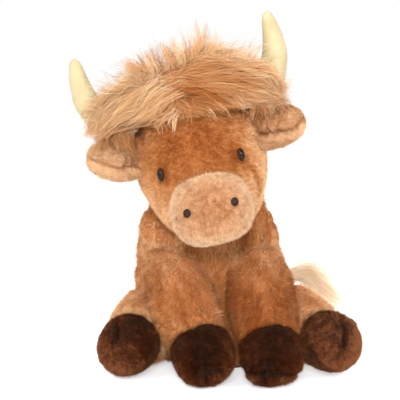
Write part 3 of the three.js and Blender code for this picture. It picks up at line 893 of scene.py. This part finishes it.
def lining_fold(side):
    """Lets the lining's edges sink into the ear, down to the crease."""

    def mover(co, no):
        along, across = ear_place(co, side)
        above = ear_crease(along, across, side)
        edge = clamp(np.hypot((along - 0.46) / 0.5, (across - 0.14) / 0.7) - 0.62)
        sunk = ear_cup(along, across) + 5.5 * edge + 9 * np.clip(0.12 - above, 0, 0.5)
        return co + HEAD_TURN[:, 1] * sunk[:, None]

    return mover


def ear_rooted(side):
    """Draws an ear's root onto the side of the head, so that no gap shows at its seam."""

    def mover(co, no):
        tree = tree_of(skins["head"])
        x = from_head(co)[:, 0] * side
        pull = clamp((60 - x) / 9) ** 1.3
        _, across = ear_place(co, side)
        co = co + HEAD_TURN[:, 2] * (9 * pull * clamp(across))[:, None]
        for i in np.nonzero(pull > 0)[0]:
            spot, normal, _, _ = tree.find_nearest(Vector(co[i]))
            co[i] += (np.array(spot - 1.5 * normal) - co[i]) * pull[i]
        return co

    return mover


for word, side in SIDES:
    shape(f"ear_{word}", ear_fold(side))
    shape(f"ear_{word}", ear_rooted(side))
    shape(f"ear_lining_{word}", lining_fold(side))


def mane_lowered(co, no):
    """Draws the hair's backing in from its outer form, most on top."""
    local = from_head(co)
    local[:, 2] -= np.clip(local[:, 2] - 40, 0, 60) * 0.2
    local[:, 1] -= np.sign(local[:, 1]) * 1.5
    return on_head(local)


shape("mane", mane_lowered)

# Pile over the skins

DOWN = np.array([0.0, 0.0, -1.0])


def flow_body(co):
    out = co - np.array([-4, -4, 0])
    out[:, 2] = 0
    return DOWN + 0.35 * unit(out) + 0.9 * scruff(co)[:, None] * wave_vectors(co, 9, 10)


def flow_head(co):
    local = from_head(co)
    out = np.tanh(local / 40) * np.array([1.2, 0.0, 0.2])
    return unit(out + np.array([0, 0.5, -0.75])) @ HEAD_TURN.T


def muzzle_length(co):
    """Longer, feathery pile where the muzzle meets the face."""
    local = from_head(co)
    return 2.2 + 1.3 * clamp((np.hypot(local[:, 0] / 33, (local[:, 2] + 36) / 30) - 0.75) / 0.25)


def flow_muzzle(co):
    local = from_head(co) - np.array([0, -55, -36])
    return unit(np.tanh(local / 26) + np.array([0, 0, -0.45])) @ HEAD_TURN.T


def flow_along(way):
    return lambda co: np.broadcast_to(way, co.shape) + 0.15 * wave_vectors(co, 30, 9)


def streaks(axis, amount, size, seed):
    """Tone in long streaks that run with the pile."""
    axis = unit(np.array(axis, float))
    return lambda co, no: amount * waves(co - 0.8 * (co @ axis)[:, None] * axis, size, seed)


def head_tone(co, no):
    """Darker over the brow and round the eyes, lighter on the cheeks and the jaw. The sides get painted
    rim light, most on the cow's left, and the crease from that eye down to the muzzle painted shade.
    """
    local = from_head(co)
    brow = gaussian(np.hypot(local[:, 0] / 1.3, local[:, 2] - 14), 26) * (local[:, 1] < -10)
    cheek = clamp((-local[:, 2] - 8) / 34) * 0.2
    # painted rim light: the head's sides lighter, most on the cow's left
    side = clamp((np.abs(local[:, 0]) - 24) / 22) * np.where(local[:, 0] > 0, 0.42, 0.2)
    eyes = sum(gaussian(np.linalg.norm((local - eye) / (1, 1, 1.3), axis=1), 6) for _, _, eye in EYE_AT)
    # painted shade in the crease from the cow's left eye down to the muzzle
    folds = gaussian(off_front(local, [(33, 0, -10), (37, 0, -20), (38, 0, -33)], -14), 2.6)
    jaw = gaussian(np.hypot((local[:, 0] + 32) / 0.7, local[:, 2] + 36), 16) * (local[:, 1] < -10)
    return cheek + side + 0.14 * jaw - 0.42 * brow - 0.6 * eyes - 0.3 * folds


def head_mask(co):
    """No pile under the mane, nor where the eyes sit."""
    local = from_head(co)
    crown = clamp((50 - local[:, 2]) / 8)
    for _, _, eye in EYE_AT:
        off = local - eye
        near = np.hypot(off[:, 0] / 2.4, off[:, 2] / 4.7)
        close = np.linalg.norm(off, axis=1) < 9
        crown = np.where(close, crown * clamp((near - 0.8) / 0.35), crown)
    return crown


def body_mask(co):
    return np.clip((co[:, 2] - 1.5) / 2, 0.12, 1)


def scruff(co):
    """Where the chest's pile is ruffled under the chin."""
    off = (co - np.array([24.0, -48.0, 105.0])) / np.array([1.2, 1.3, 1.2])
    return gaussian(np.linalg.norm(off, axis=1), 13)


def body_tone(co, no):
    sides = clamp((np.abs(co[:, 0] + 4) - 30) / 24)
    # painted shade in the cleft down the chest between the front legs
    cleft = gaussian(off_line(co, [(-4, -64, 82), (-3, -72, 66), (-2, -74, 46)]), 8)
    # painted light over the shoulders, lifting the shade of the fold where the legs meet the body
    shoulder = gaussian(co[:, 2] - 98, 11) * (co[:, 1] < -20) * (1 - scruff(co))
    streak = streaks(DOWN, 0.09, 12, 61)(co, no)
    return streak + 0.16 * sides + 0.2 * shoulder - 0.24 * scruff(co) - 0.3 * cleft


def body_length(co):
    return 4.8 + 5.5 * scruff(co)


def leg_tone(node):
    axis = limb_axis(node.replace("leg", "hoof"))
    lines = streaks(axis, 0.1, 9, 62)
    # painted light on the hind legs, lifting the shadow that falls on them; the front legs are darker, the
    # left one most
    base = {"front_leg_left": -0.42, "front_leg_right": -0.1}.get(node, 0.42)

    def tone(co, no):
        # painted light: towards its top each leg fades to one lighter tone, hiding the shade of the fold
        # at the body
        top = clamp((co[:, 2] - 68) / 26)
        return base * (1 - top) + lines(co, no) + 0.26 * top

    return tone


def flow_limb(node):
    """From the ridge of a limb down both its sides, and along it."""
    axis, start = limb_axis(node), np.array(HOOVES[node].joint)

    def flow(co):
        off = co - start
        off = off - (off @ axis)[:, None] * axis
        off[:, 2] = 0
        aside = off / (4 + np.linalg.norm(off, axis=1, keepdims=True))
        return 0.3 * axis + 1.1 * aside + 0.45 * DOWN + 0.12 * wave_vectors(co, 30, 9)

    return flow


def hoof_crease(node, co, narrow):
    back = HOOVES[node].middle[1]
    near = (gaussian(off_front(co, line, back), width * narrow) for line, _, width in HOOVES[node].creases)
    return clamp(sum(near))


def hoof_tone(node):
    """Dark above, lighter towards the sole and the sides, and darkest in the creases. Painted shade
    darkens the front hooves and the creases, and painted light lightens the hind hooves, the left one
    most.
    """
    # painted shade on the front hooves and painted light on the hind ones
    base = {"hind_hoof_left": 0.36, "hind_hoof_right": 0.08}.get(node, -0.24)
    middle = HOOVES[node].middle

    def tone(co, no):
        low = clamp((22 - co[:, 2]) / 12)
        aside = clamp((np.abs(co[:, 0] - middle[0]) - 9) / 13)
        shade = gaussian(off_front(co, HOOVES[node].shade, middle[1]), 9)
        # painted shade in the creases between the toes
        crease = hoof_crease(node, co, 0.8)
        return base + 0.36 * low + 0.2 * aside + 0.07 * waves(co, 9, 63) - 0.24 * shade - 0.55 * crease

    return tone


def hoof_length(node):
    return lambda co: 3.2 * (1 - 0.55 * hoof_crease(node, co, 1.0))


def muzzle_tone(co, no):
    """Lighter round the edge and darker between the nostrils."""
    local = from_head(co)
    middle = gaussian(np.hypot(local[:, 0] / 1.35, (local[:, 2] + 33) / 1.1), 16)
    edge = clamp((np.hypot(local[:, 0] / 34, (local[:, 2] + 36) / 30) - 0.66) / 0.34)
    return 0.14 + 0.14 * edge - 0.74 * middle


def ear_tone(side):
    """Darker at the root, by the upper edge and in the crease, where the darkening is painted shade."""

    def tone(co, no):
        along, across = ear_place(co, side)
        above = ear_crease(along, across, side)
        front = ear_front(no)
        high = clamp((across - 0.3) / 0.4) * (1.1 - along) * front
        # painted shade in the crease along the ear
        crease = gaussian(above - 0.03, 0.07) * front * clamp((0.98 - along) / 0.2)
        root = clamp(1 - along * 2.6) * np.clip(above / 0.3, 0.2, 1)
        base = 0.0 if side > 0 else 0.2
        return base + 0.12 * along - 0.2 * root - 0.24 * high - 0.42 * crease + 0.36 * (above < -0.1)

    return tone


piles = {}


def grow(node, *args, **values):
    piles[node] = pile(node, skins[node], *args, **values)


grow("body", "brown", 176000, body_length, flow_body, 11, mask=body_mask, tone=body_tone, parts=2)
grow("head", "brown", 170000, 3.2, flow_head, 12, lean=68, tone=head_tone, mask=head_mask, parts=2)
grow("muzzle", "pale", 66000, muzzle_length, flow_muzzle, 13, lean=62, width=0.26, tone=muzzle_tone)
for index, leg in enumerate(LEGS):
    hoof = leg.replace("leg", "hoof")
    flow = flow_limb(hoof)
    grow(leg, "leg", 60000, 4.8, flow, 20 + index, mask=body_mask, tone=leg_tone(leg))
    looks = {"lean": 66, "width": 0.27, "tone": hoof_tone(hoof), "mask": body_mask}
    grow(hoof, "hoof", 46000, hoof_length(hoof), flow, 30 + index, **looks)
for index, (word, side) in enumerate(SIDES):
    outward = flow_along(np.array([side, 0.0, 0.25]) @ HEAD_TURN.T)
    tone = ear_tone(side)
    grow(f"ear_{word}", "ear", 32000, 3.8, outward, 40 + index, lean=68, tone=tone)
    grow(f"ear_lining_{word}", "lining", 14000, 3.0, outward, 44 + index, lean=66, tone=tone)
    grow(f"horn_{word}", "felt", 26000, 0.9, flow_along(-DOWN), 50 + index, lean=74, width=0.16)
grow("tail", "leg", 16000, 4.2, flow_along(np.array([1.0, 0.0, 0.0])), 60)

# The mane

# The parting's x in head axes, and the points along each hair.
CREST = -6.0
STEPS = 8
MANE_TREE = kept_tree(skins["mane"])


def mane_flow(local):
    """The way that the hair lies, in head axes: out from a crest along the head's middle, then down."""
    away = local[:, 0] - CREST
    side = np.tanh(away / 7)
    behind = clamp((local[:, 1] - 6) / 30)
    fall = 0.25 + 0.55 * clamp((np.abs(away) - 34) / 30) + 0.5 * behind
    front = clamp((-local[:, 1] - 28) / 16) * clamp((56 - local[:, 2]) / 14)
    way = np.stack([side * (1 - 0.55 * behind), 0.9 * behind - 0.1, -fall - 0.25 * front], 1)
    turn = 0.45 * waves(local, 34, 71) + 0.4 * waves(local, 11, 72)
    return unit(way + np.stack([0 * turn, 0.3 * turn, 0.7 * turn], 1))


def combed(roots, normals, lengths, rng, rise, hug):
    """Guide hairs over the crown's form. They start along the form's normal, turn to the flow and
    keep at least hug above the form."""
    paths = [roots]
    start = 0.5 * normals + 0.6 * tangent(mane_flow(roots), normals)
    spot, way = roots.copy(), unit(start + 0.25 * rng.normal(size=roots.shape))
    stride = (lengths / (STEPS - 1))[:, None]
    for step in range(1, STEPS):
        t = step / (STEPS - 1)
        near, out, gap = np.zeros_like(spot), np.zeros_like(spot), np.zeros(len(spot))
        for i, p in enumerate(on_head(spot)):
            place, normal, _, _ = MANE_TREE.find_nearest(Vector(p))
            near[i], out[i] = place, normal
            gap[i] = (Vector(p) - place).dot(normal)
        out = out @ HEAD_TURN
        lie = tangent(mane_flow(spot), out)
        want = unit(lie + out * (rise * (1 - t) ** 1.5 - 0.1 * t)[:, None])
        way = unit(way * (0.45 + 0.25 * t) + want * 0.55)
        spot = spot + way * stride
        spot = spot + out * np.clip(hug * min(1, 2 * t) - gap, 0, 3)[:, None] * 0.6
        paths.append(spot)
    return np.stack(paths, 1)


def mane_tone(local):
    """Deeper in the middle of the brow and lighter to the sides and on top."""
    middle = gaussian(np.hypot((local[:, 0] - 13) / 1.4, local[:, 2] - 50), 20) * (local[:, 1] < -10)
    ends = 0.1 * clamp((np.abs(local[:, 0]) - 34) / 22)
    return 0.62 - 0.55 * middle + ends + 0.1 * waves(local, 22, 73) + 0.08 * waves(local, 8, 74)


def spread(x, y, z):
    """Points or moves from their x, y and z, each one number or one for each lock."""
    return np.stack(np.broadcast_arrays(x, y, z), 1)


def bezier(p0, p1, p2, p3, steps):
    t = np.linspace(0, 1, steps)[None, :, None]
    terms = ((1 - t) ** 3, p0), (3 * t * (1 - t) ** 2, p1), (3 * t**2 * (1 - t), p2), (t**3, p3)
    return sum(share * point[:, None] for share, point in terms)


def cover_locks(count, rng):
    """The main cover: combed hair from all over the crown."""
    co, _ = coords(skins["mane"])
    local = from_head(co)
    forward = clamp((-local[:, 1] + 10) / 50)
    weight = np.clip((local[:, 2] - 26) / 14, 0.05, 1) * (0.6 + 0.8 * forward)
    spots, normals, _ = scatter(skins["mane"], count, rng, weight)
    roots, out = from_head(spots), normals @ HEAD_TURN
    edge = clamp((np.abs(roots[:, 0] - CREST) - 30) / 40)
    lengths = rng.uniform(26, 46, count) * (1 - 0.45 * edge)
    low = clamp((46 - roots[:, 2]) / 16) * (roots[:, 1] < -20)
    lengths *= 1 - 0.45 * low
    rise = rng.uniform(0.15, 0.65, count) * (1 - 0.5 * low)
    return combed(roots, out, lengths, rng, rise, 1.5), 0.08 * rng.normal(size=count)


def brow_locks(count, rng):
    """Locks combed across the brow from the crest, most of them to the cow's left."""
    x = rng.uniform(-14, 8, count)
    start = spread(x, -44 + 3 * rng.normal(size=count), 56 + 4 * rng.normal(size=count))
    left = rng.random(count) < 0.6
    end_x = np.where(left, rng.uniform(18, 56, count), rng.uniform(-66, -20, count))
    end_z = np.where(left, 40 + 4 * rng.normal(size=count), 43 + 4 * rng.normal(size=count))
    end = spread(end_x, -56 + 0.26 * np.abs(end_x), end_z)
    across = end_x - start[:, 0]
    p1 = start + spread(across * 0.15, -16.0, 5.0)
    p2 = end + spread(-across * 0.3, -5.0, 9.0)
    return bezier(start, p1, p2, end, STEPS), 0.06 + 0.1 * rng.normal(size=count)


def spike_locks(count, rng):
    """Locks that stand up from the crest."""
    x = rng.uniform(-32, 32, count)
    start = spread(x, rng.uniform(-30, 6, count), 72.0 - 0.008 * x**2)
    tall = rng.uniform(16, 28, count) * np.where((x > 10) & (x < 24), 1.15, 0.85)
    end = start + spread(0.2 * (x - 2) + 3 * rng.normal(size=count), 3 * rng.normal(size=count), tall)
    p1 = start + spread(2 * rng.normal(size=count), 2 * rng.normal(size=count), tall * 0.35)
    p2 = end - spread(2 * rng.normal(size=count), rng.normal(size=count), tall * 0.35)
    return bezier(start, p1, p2, end, STEPS), 0.04 + 0.12 * rng.normal(size=count)


def stray_locks(count, rng):
    """Thin locks that fly off to the side and up."""
    side = np.where(rng.random(count) < 0.6, -1, 1)
    x = CREST + side * rng.uniform(10, 60, count)
    start = spread(x, rng.uniform(-34, 6, count), 74 - 0.006 * x**2 + 2 * rng.normal(size=count))
    reach = side * rng.uniform(12, 26, count)
    end = start + spread(reach, 5 * rng.normal(size=count), rng.uniform(-6, 13, count))
    p1, p2 = start + spread(side * 4.0, 0.0, 5.0), end + spread(-side * 8.0, 0.0, 2.0)
    return bezier(start, p1, p2, end, STEPS), 0.1 + 0.1 * rng.normal(size=count)


def wisp_locks(count, rng):
    """Thin wisps that hang over the brow."""
    x = rng.uniform(-52, 52, count)
    start = spread(x, -50 + 0.009 * x**2, 42 + 4 * rng.normal(size=count))
    side = np.where(x > -4, 1, -1)
    reach = side * rng.uniform(2, 16, count)
    end = start + spread(reach, 2 * rng.normal(size=count), rng.uniform(-15, -5, count))
    p1, p2 = start + spread(side * 3.0, -6.0, -1.0), end + spread(-side * 2.0, -3.0, 5.0)
    return bezier(start, p1, p2, end, STEPS), 0.08 + 0.1 * rng.normal(size=count)


def side_locks(count, rng):
    """Short locks that hang from under the mane's ends over the roots of the ears."""
    side = np.where(rng.random(count) < 0.5, -1, 1)
    out = side * rng.uniform(44, 68, count)
    start = spread(out, rng.uniform(-36, 12, count), rng.uniform(31, 42, count))
    reach = side * rng.uniform(-4, 10, count)
    end = start + spread(reach, rng.uniform(-4, 2, count), rng.uniform(-16, -9, count))
    p1, p2 = start + spread(side * 4.0, -3.0, -1.0), end + spread(side * 1.0, -2.0, 5.0)
    return bezier(start, p1, p2, end, STEPS), 0.1 * rng.normal(size=count) - 0.3


def keep_inside(points, room):
    """Eases hair that would run past the crown's outer form back to it, in head axes."""
    middle, half = np.array([0.0, 2.0, 40.0]), np.array([86.0, 58.0, 44.0])
    half = half * room[:, None, None]
    local = (points - middle) / half
    far = np.linalg.norm(local, axis=-1, keepdims=True)
    return middle + local / np.maximum(1, far) ** 0.7 * half


def out_of_head(points):
    """Pushes hair out of the head's own form, in head axes."""
    middle, half = np.array([0.0, 2.0, -2.0]), np.array([55.0, 51.0, 64.0])
    local = (points - middle) / half
    far = (np.abs(local) ** 2.3).sum(-1, keepdims=True) ** (1 / 2.3)
    return np.where(far < 1.03, middle + local / np.maximum(far, 0.2) * 1.03 * half, points)


# The lower edge of the hair over the brow in head axes: x, and the height there.
HAIRLINE = ((-76, -56, -27, 2, 38, 70), (30, 36, 42, 40, 33, 26))


def hair_round(curves, tones, strands, rng, wide, end, wild, free):
    """Strands round each lock: they gather from wide at the root to end at the tip, some of them
    wild. Hair that isn't free is kept above the hairline and within the crown's form."""
    locks = len(curves)
    t = np.linspace(0, 1, STEPS)[None, :, None]
    owner = rng.integers(0, locks, strands)
    gather = wide + (end - wide) * t**1.3
    paths = curves[owner] + rng.normal(0, 1, (strands, 1, 3)) * gather * np.array([1, 0.8, 0.8])
    scale = rng.uniform(0.7, 1.12, strands)[:, None, None]
    paths = paths[:, :1] + (paths - paths[:, :1]) * scale
    paths += wave_vectors(paths.reshape(-1, 3), 22, 7).reshape(paths.shape) * t * 2.4
    away = rng.normal(0, 1, (strands, 1, 3)) * t**1.4
    paths += away * np.minimum(rng.gamma(1.1, wild, strands), 3 * wild)[:, None, None]
    paths += rng.normal(0, 1, (strands, 1, 3)) * np.sin(math.pi * t) * wild
    paths[:, 1:] = out_of_head(paths[:, 1:])
    if not free:
        root, tip = paths[:, 0], paths[:, -1]
        line = np.interp(tip[:, 0], *HAIRLINE) + rng.normal(0, 2.0, strands)
        fits = np.clip((root[:, 2] - line) / np.maximum(root[:, 2] - tip[:, 2], 1), 0.25, 1)
        fits = np.where((tip[:, 1] < -20) & (tip[:, 2] < line), fits, 1)[:, None, None]
        paths = paths[:, :1] + (paths - paths[:, :1]) * fits
        room = rng.uniform(0.93, 1.0, strands) + rng.gamma(0.5, 0.06, strands)
        paths[:, 1:] = keep_inside(paths[:, 1:], room)
    tone = mane_tone(paths[:, STEPS // 2 + 1]) + tones[owner] + 0.1 * rng.normal(size=strands)
    lift = unit(paths[:, STEPS // 2] - np.array([0, 8, 12]))
    return paths, tone, lift


# How the hair is shared out: locks, strands, spread at the root and at the tip, how wild it is, and
# whether it is free to leave the crown's form.
GROUPS = (
    (cover_locks, 900, 26000, 2.8, 1.7, 1.9, False),
    (brow_locks, 40, 1100, 2.6, 1.3, 1.4, False),
    (spike_locks, 64, 1100, 2.0, 0.7, 1.0, True),
    (stray_locks, 150, 1200, 2.4, 1.6, 2.2, True),
    (wisp_locks, 34, 300, 1.6, 0.9, 1.0, True),
    (side_locks, 170, 4400, 2.4, 1.8, 1.2, True),
)
mane_parts = [[], [], []]
for index, (make, locks, strands, wide, end, wild, free) in enumerate(GROUPS):
    rng = np.random.default_rng(700 + index)
    curves, tones = make(locks, rng)
    paths, tone, lift = hair_round(curves, tones, int(strands * SHARE), rng, wide, end, wild, free)
    for part in range(3):
        mane_parts[part].append((paths[part::3], tone[part::3], lift[part::3]))
mane_hair = []
for part, rows in enumerate(mane_parts):
    paths, tone, lift = (np.concatenate([row[i] for row in rows]) for i in range(3))
    paths = on_head(paths.reshape(-1, 3)).reshape(paths.shape)
    lift = lift @ HEAD_TURN.T
    mane_hair.append(hairs(f"mane_hair_{part + 1}", "mane", paths, 0.25, tone, 80 + part, lift))

# The tail's tuft


def tuft(strands, rng, steps):
    """A loose brush of pale hair that fans out and droops."""
    fan = np.clip(rng.normal(0, 1, strands), -2.2, 2.2)
    t = np.linspace(0, 1, steps)[None, :, None]
    p0 = np.array([66.0, 48.0, 62.0]) + rng.normal(0, 1, (strands, 3)) * np.array([2.0, 2.5, 3.0])
    p1 = p0 + spread(14.0, -8.0, 6 + 3 * fan)
    reach = rng.uniform(0.55, 1.05, strands)
    end = spread(45 - 5 * np.abs(fan), -22 + 5 * rng.normal(size=strands), -22 + 13 * fan)
    p3 = p0 + end * reach[:, None]
    p2 = p3 + spread(-12.0, 4.0, 11 + 2 * fan) * reach[:, None]
    paths = bezier(p0, p1, p2, p3, steps)
    paths += wave_vectors(paths.reshape(-1, 3), 18, 8).reshape(paths.shape) * t * 1.2
    paths += rng.normal(0, 1, (strands, 1, 3)) * t**1.3 * 2.2
    above_floor(paths, TUFT_GAP)
    tone = 0.66 + 0.16 * rng.normal(size=strands)
    return paths, tone, unit(spread(0.25, -0.8, 0.5 + 0.25 * fan))


paths, tone, lift = tuft(int(950 * SHARE), np.random.default_rng(90), 9)
tuft_hair = hairs("tuft_hair", "tuft", paths, 0.22, tone, 91, lift)

# Eyes and small parts


def dome(name, segments, rings, facing, middle, half, key, node, slant=0.0, dish=0.0):
    """A smooth oval dome on the face. half gives half its width, height and depth, slant turns it
    about the way that it faces, in degrees, and dish sinks its middle."""
    bpy.ops.mesh.primitive_uv_sphere_add(segments=segments, ring_count=rings, radius=1)
    piece = bpy.context.object
    piece.name = name
    if dish:
        co = np.array([v.co for v in piece.data.vertices])
        off = np.hypot(co[:, 0], co[:, 1])
        co[:, 2] -= dish * np.exp(-((off / 0.5) ** 2)) * (co[:, 2] > 0)
        piece.data.vertices.foreach_set("co", co.astype(np.float32).ravel())
    turn = Vector(facing).to_track_quat("Z", "Y").to_matrix().to_4x4()
    place = Matrix.Translation(Vector(middle * MM)) @ turn @ Matrix.Rotation(math.radians(slant), 4, "Z")
    piece.data.transform(place @ Matrix.Diagonal((*(h * MM for h in half), 1)))
    smooth_shaded(piece)
    dress(piece, key)
    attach(piece, "head")
    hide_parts(node)


for word, side, place in EYE_AT:
    facing = unit(np.array([side * 0.34, -0.93, 0.1])) @ HEAD_TURN.T
    middle, slant = on_head(place) + 0.7 * facing, 12 if side > 0 else 4
    size = (2.7, 5.2, 2.8)
    dome(f"eye_dome_{word}", 40, 24, facing, middle, size, "eye", f"eye_{word}", slant=slant)
    facing = unit(np.array([side * 0.42, -1, 0.1])) @ HEAD_TURN.T
    middle, size, node = on_head([side * 18, -62.3, -32.7]), (2.8, 3.3, 3.0), f"nostril_{word}"
    dome(f"nostril_felt_{word}", 36, 20, facing, middle, size, "nostril", node, dish=0.55)

# What each piece rides on and stands for

# Each limb and ear is named after its own body, and so are the hoof and the lining that go with it.
BODY_OF = {node: node.replace("hoof", "leg").replace("ear_lining", "ear") for node in skins}
BODY_OF.update(dict.fromkeys(("head", "muzzle", "horn_left", "horn_right", "mane"), "head"), body="torso")
SLOT_OF = dict.fromkeys(("body", "head", "tail", *LEGS), "brown_pile")
SLOT_OF["muzzle"] = "pale_pile"
CLOTH_OF = {"muzzle": "pale_cloth"}
for node in skins:
    if "hoof" in node:
        SLOT_OF[node], CLOTH_OF[node] = "dark_pile", "hoof_cloth"
    if "horn" in node:
        SLOT_OF[node], CLOTH_OF[node] = "horn_felt", "horn_cloth"
    if node.startswith("ear"):
        SLOT_OF[node], CLOTH_OF[node] = "pale_pile" if "lining" in node else "muted_pile", "pale_cloth"
SLOT_OF["mane"], CLOTH_OF["mane"], piles["mane"] = "blond_hair", "mane_cloth", mane_hair
for node, skin in skins.items():
    dress(skin, CLOTH_OF.get(node, "brown_cloth"))
    for obj in (skin, *piles[node]):
        if node.startswith("ear"):
            side = dict(SIDES)[node.split("_")[-1]]
            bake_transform(obj)
        else:
            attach(obj, BODY_OF[node])
    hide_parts(node)

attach(tuft_hair, "tail")
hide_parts("tail_tuft")

for node in ("seat_panel", "bean_bag"):
    dress(NODES[node], "panel")
for word, _ in SIDES:
    dress(NODES[f"eye_washer_{word}"], "washer")

# Floor, light and camera


def background_rays(nodes, links):
    """1 for rays that see the background itself: the camera's, and those of shiny and clear pieces."""
    rays = nodes.new("ShaderNodeLightPath")
    total = rays.outputs["Is Camera Ray"]
    for kind in ("Is Glossy Ray", "Is Transmission Ray"):
        both = nodes.new("ShaderNodeMath")
        both.operation = "MAXIMUM"
        links.new(total, both.inputs[0])
        links.new(rays.outputs[kind], both.inputs[1])
        total = both.outputs[0]
    return total


FLOOR_GLOW = 0.6
# The world's strength: what lights the object, and the white that the background shows.
WORLD_LIGHT, WORLD_WHITE = 0.68, 1.0

bpy.ops.mesh.primitive_plane_add(size=8, location=(0, 0, -0.0002))
floor = bpy.context.object
floor.name = "floor"
material, nodes, links, shader = new_material("floor_white")
white = {"Base Color": grey(0.9), "Emission Color": grey(1), "Roughness": 1.0, "Specular IOR Level": 0.0}
set_inputs(shader, white)
glow = nodes.new("ShaderNodeMath")
glow.operation = "MULTIPLY"
glow.inputs[1].default_value = FLOOR_GLOW
links.new(background_rays(nodes, links), glow.inputs[0])
links.new(glow.outputs[0], shader.inputs["Emission Strength"])
floor.data.materials.append(material)

world = bpy.data.worlds.new("studio")
world.use_nodes = True
scene.world = world
back = world.node_tree.nodes["Background"]
sky, sky_links = world.node_tree.nodes, world.node_tree.links
level = sky.new("ShaderNodeMapRange")
set_inputs(level, {"To Min": WORLD_LIGHT, "To Max": WORLD_WHITE})
sky_links.new(background_rays(sky, sky_links), level.inputs["Value"])
sky_links.new(level.outputs["Result"], back.inputs["Strength"])
back.inputs["Color"].default_value = grey(1)


def softbox(name, place, height, size, power, colour=(1, 1, 1)):
    """A rectangular lamp that points at a height on the object's upright axis. All in metres."""
    bpy.ops.object.light_add(type="AREA", location=place)
    light = bpy.context.object
    light.name = name
    set_all(light.data, shape="RECTANGLE", size=size[0], size_y=size[1], energy=power, color=colour)
    aim = Vector((0, 0, height)) - Vector(place)
    light.rotation_euler = aim.to_track_quat("-Z", "Y").to_euler()


softbox("key", (-1.1, -1.5, 1.35), 0.12, (1.0, 1.2), 15, (1.0, 0.99, 0.97))
softbox("fill", (1.3, -1.3, 0.6), 0.12, (1.2, 1.2), 9)
softbox("top", (0.1, 0.7, 1.5), 0.12, (1.2, 1.0), 12)
softbox("spark", (-0.05, -1.7, 0.75), 0.15, (0.3, 0.3), 20)

# The picture is this many pixels wide, and each covers this much of the object.
PICTURE, MM_PER_PIXEL = 400, 0.79
CAMERA_AWAY = 1100.0
CAMERA_LIFT = math.radians(7)
AIM = np.array([-14.0, -30.0, 135.0])
toward = np.array([0, -math.cos(CAMERA_LIFT), math.sin(CAMERA_LIFT)])
bpy.ops.object.camera_add(location=Vector((AIM + toward * CAMERA_AWAY) * MM))
camera = bpy.context.object
camera.rotation_euler = Vector(-toward).to_track_quat("-Z", "Y").to_euler()
camera.data.sensor_width = 36
camera.data.lens = camera.data.sensor_width * (CAMERA_AWAY / MM_PER_PIXEL) / PICTURE
camera.data.clip_start, camera.data.clip_end = 0.05, 50
scene.camera = camera
scene.view_settings.view_transform = "Standard"

bpy.context.view_layer.update()
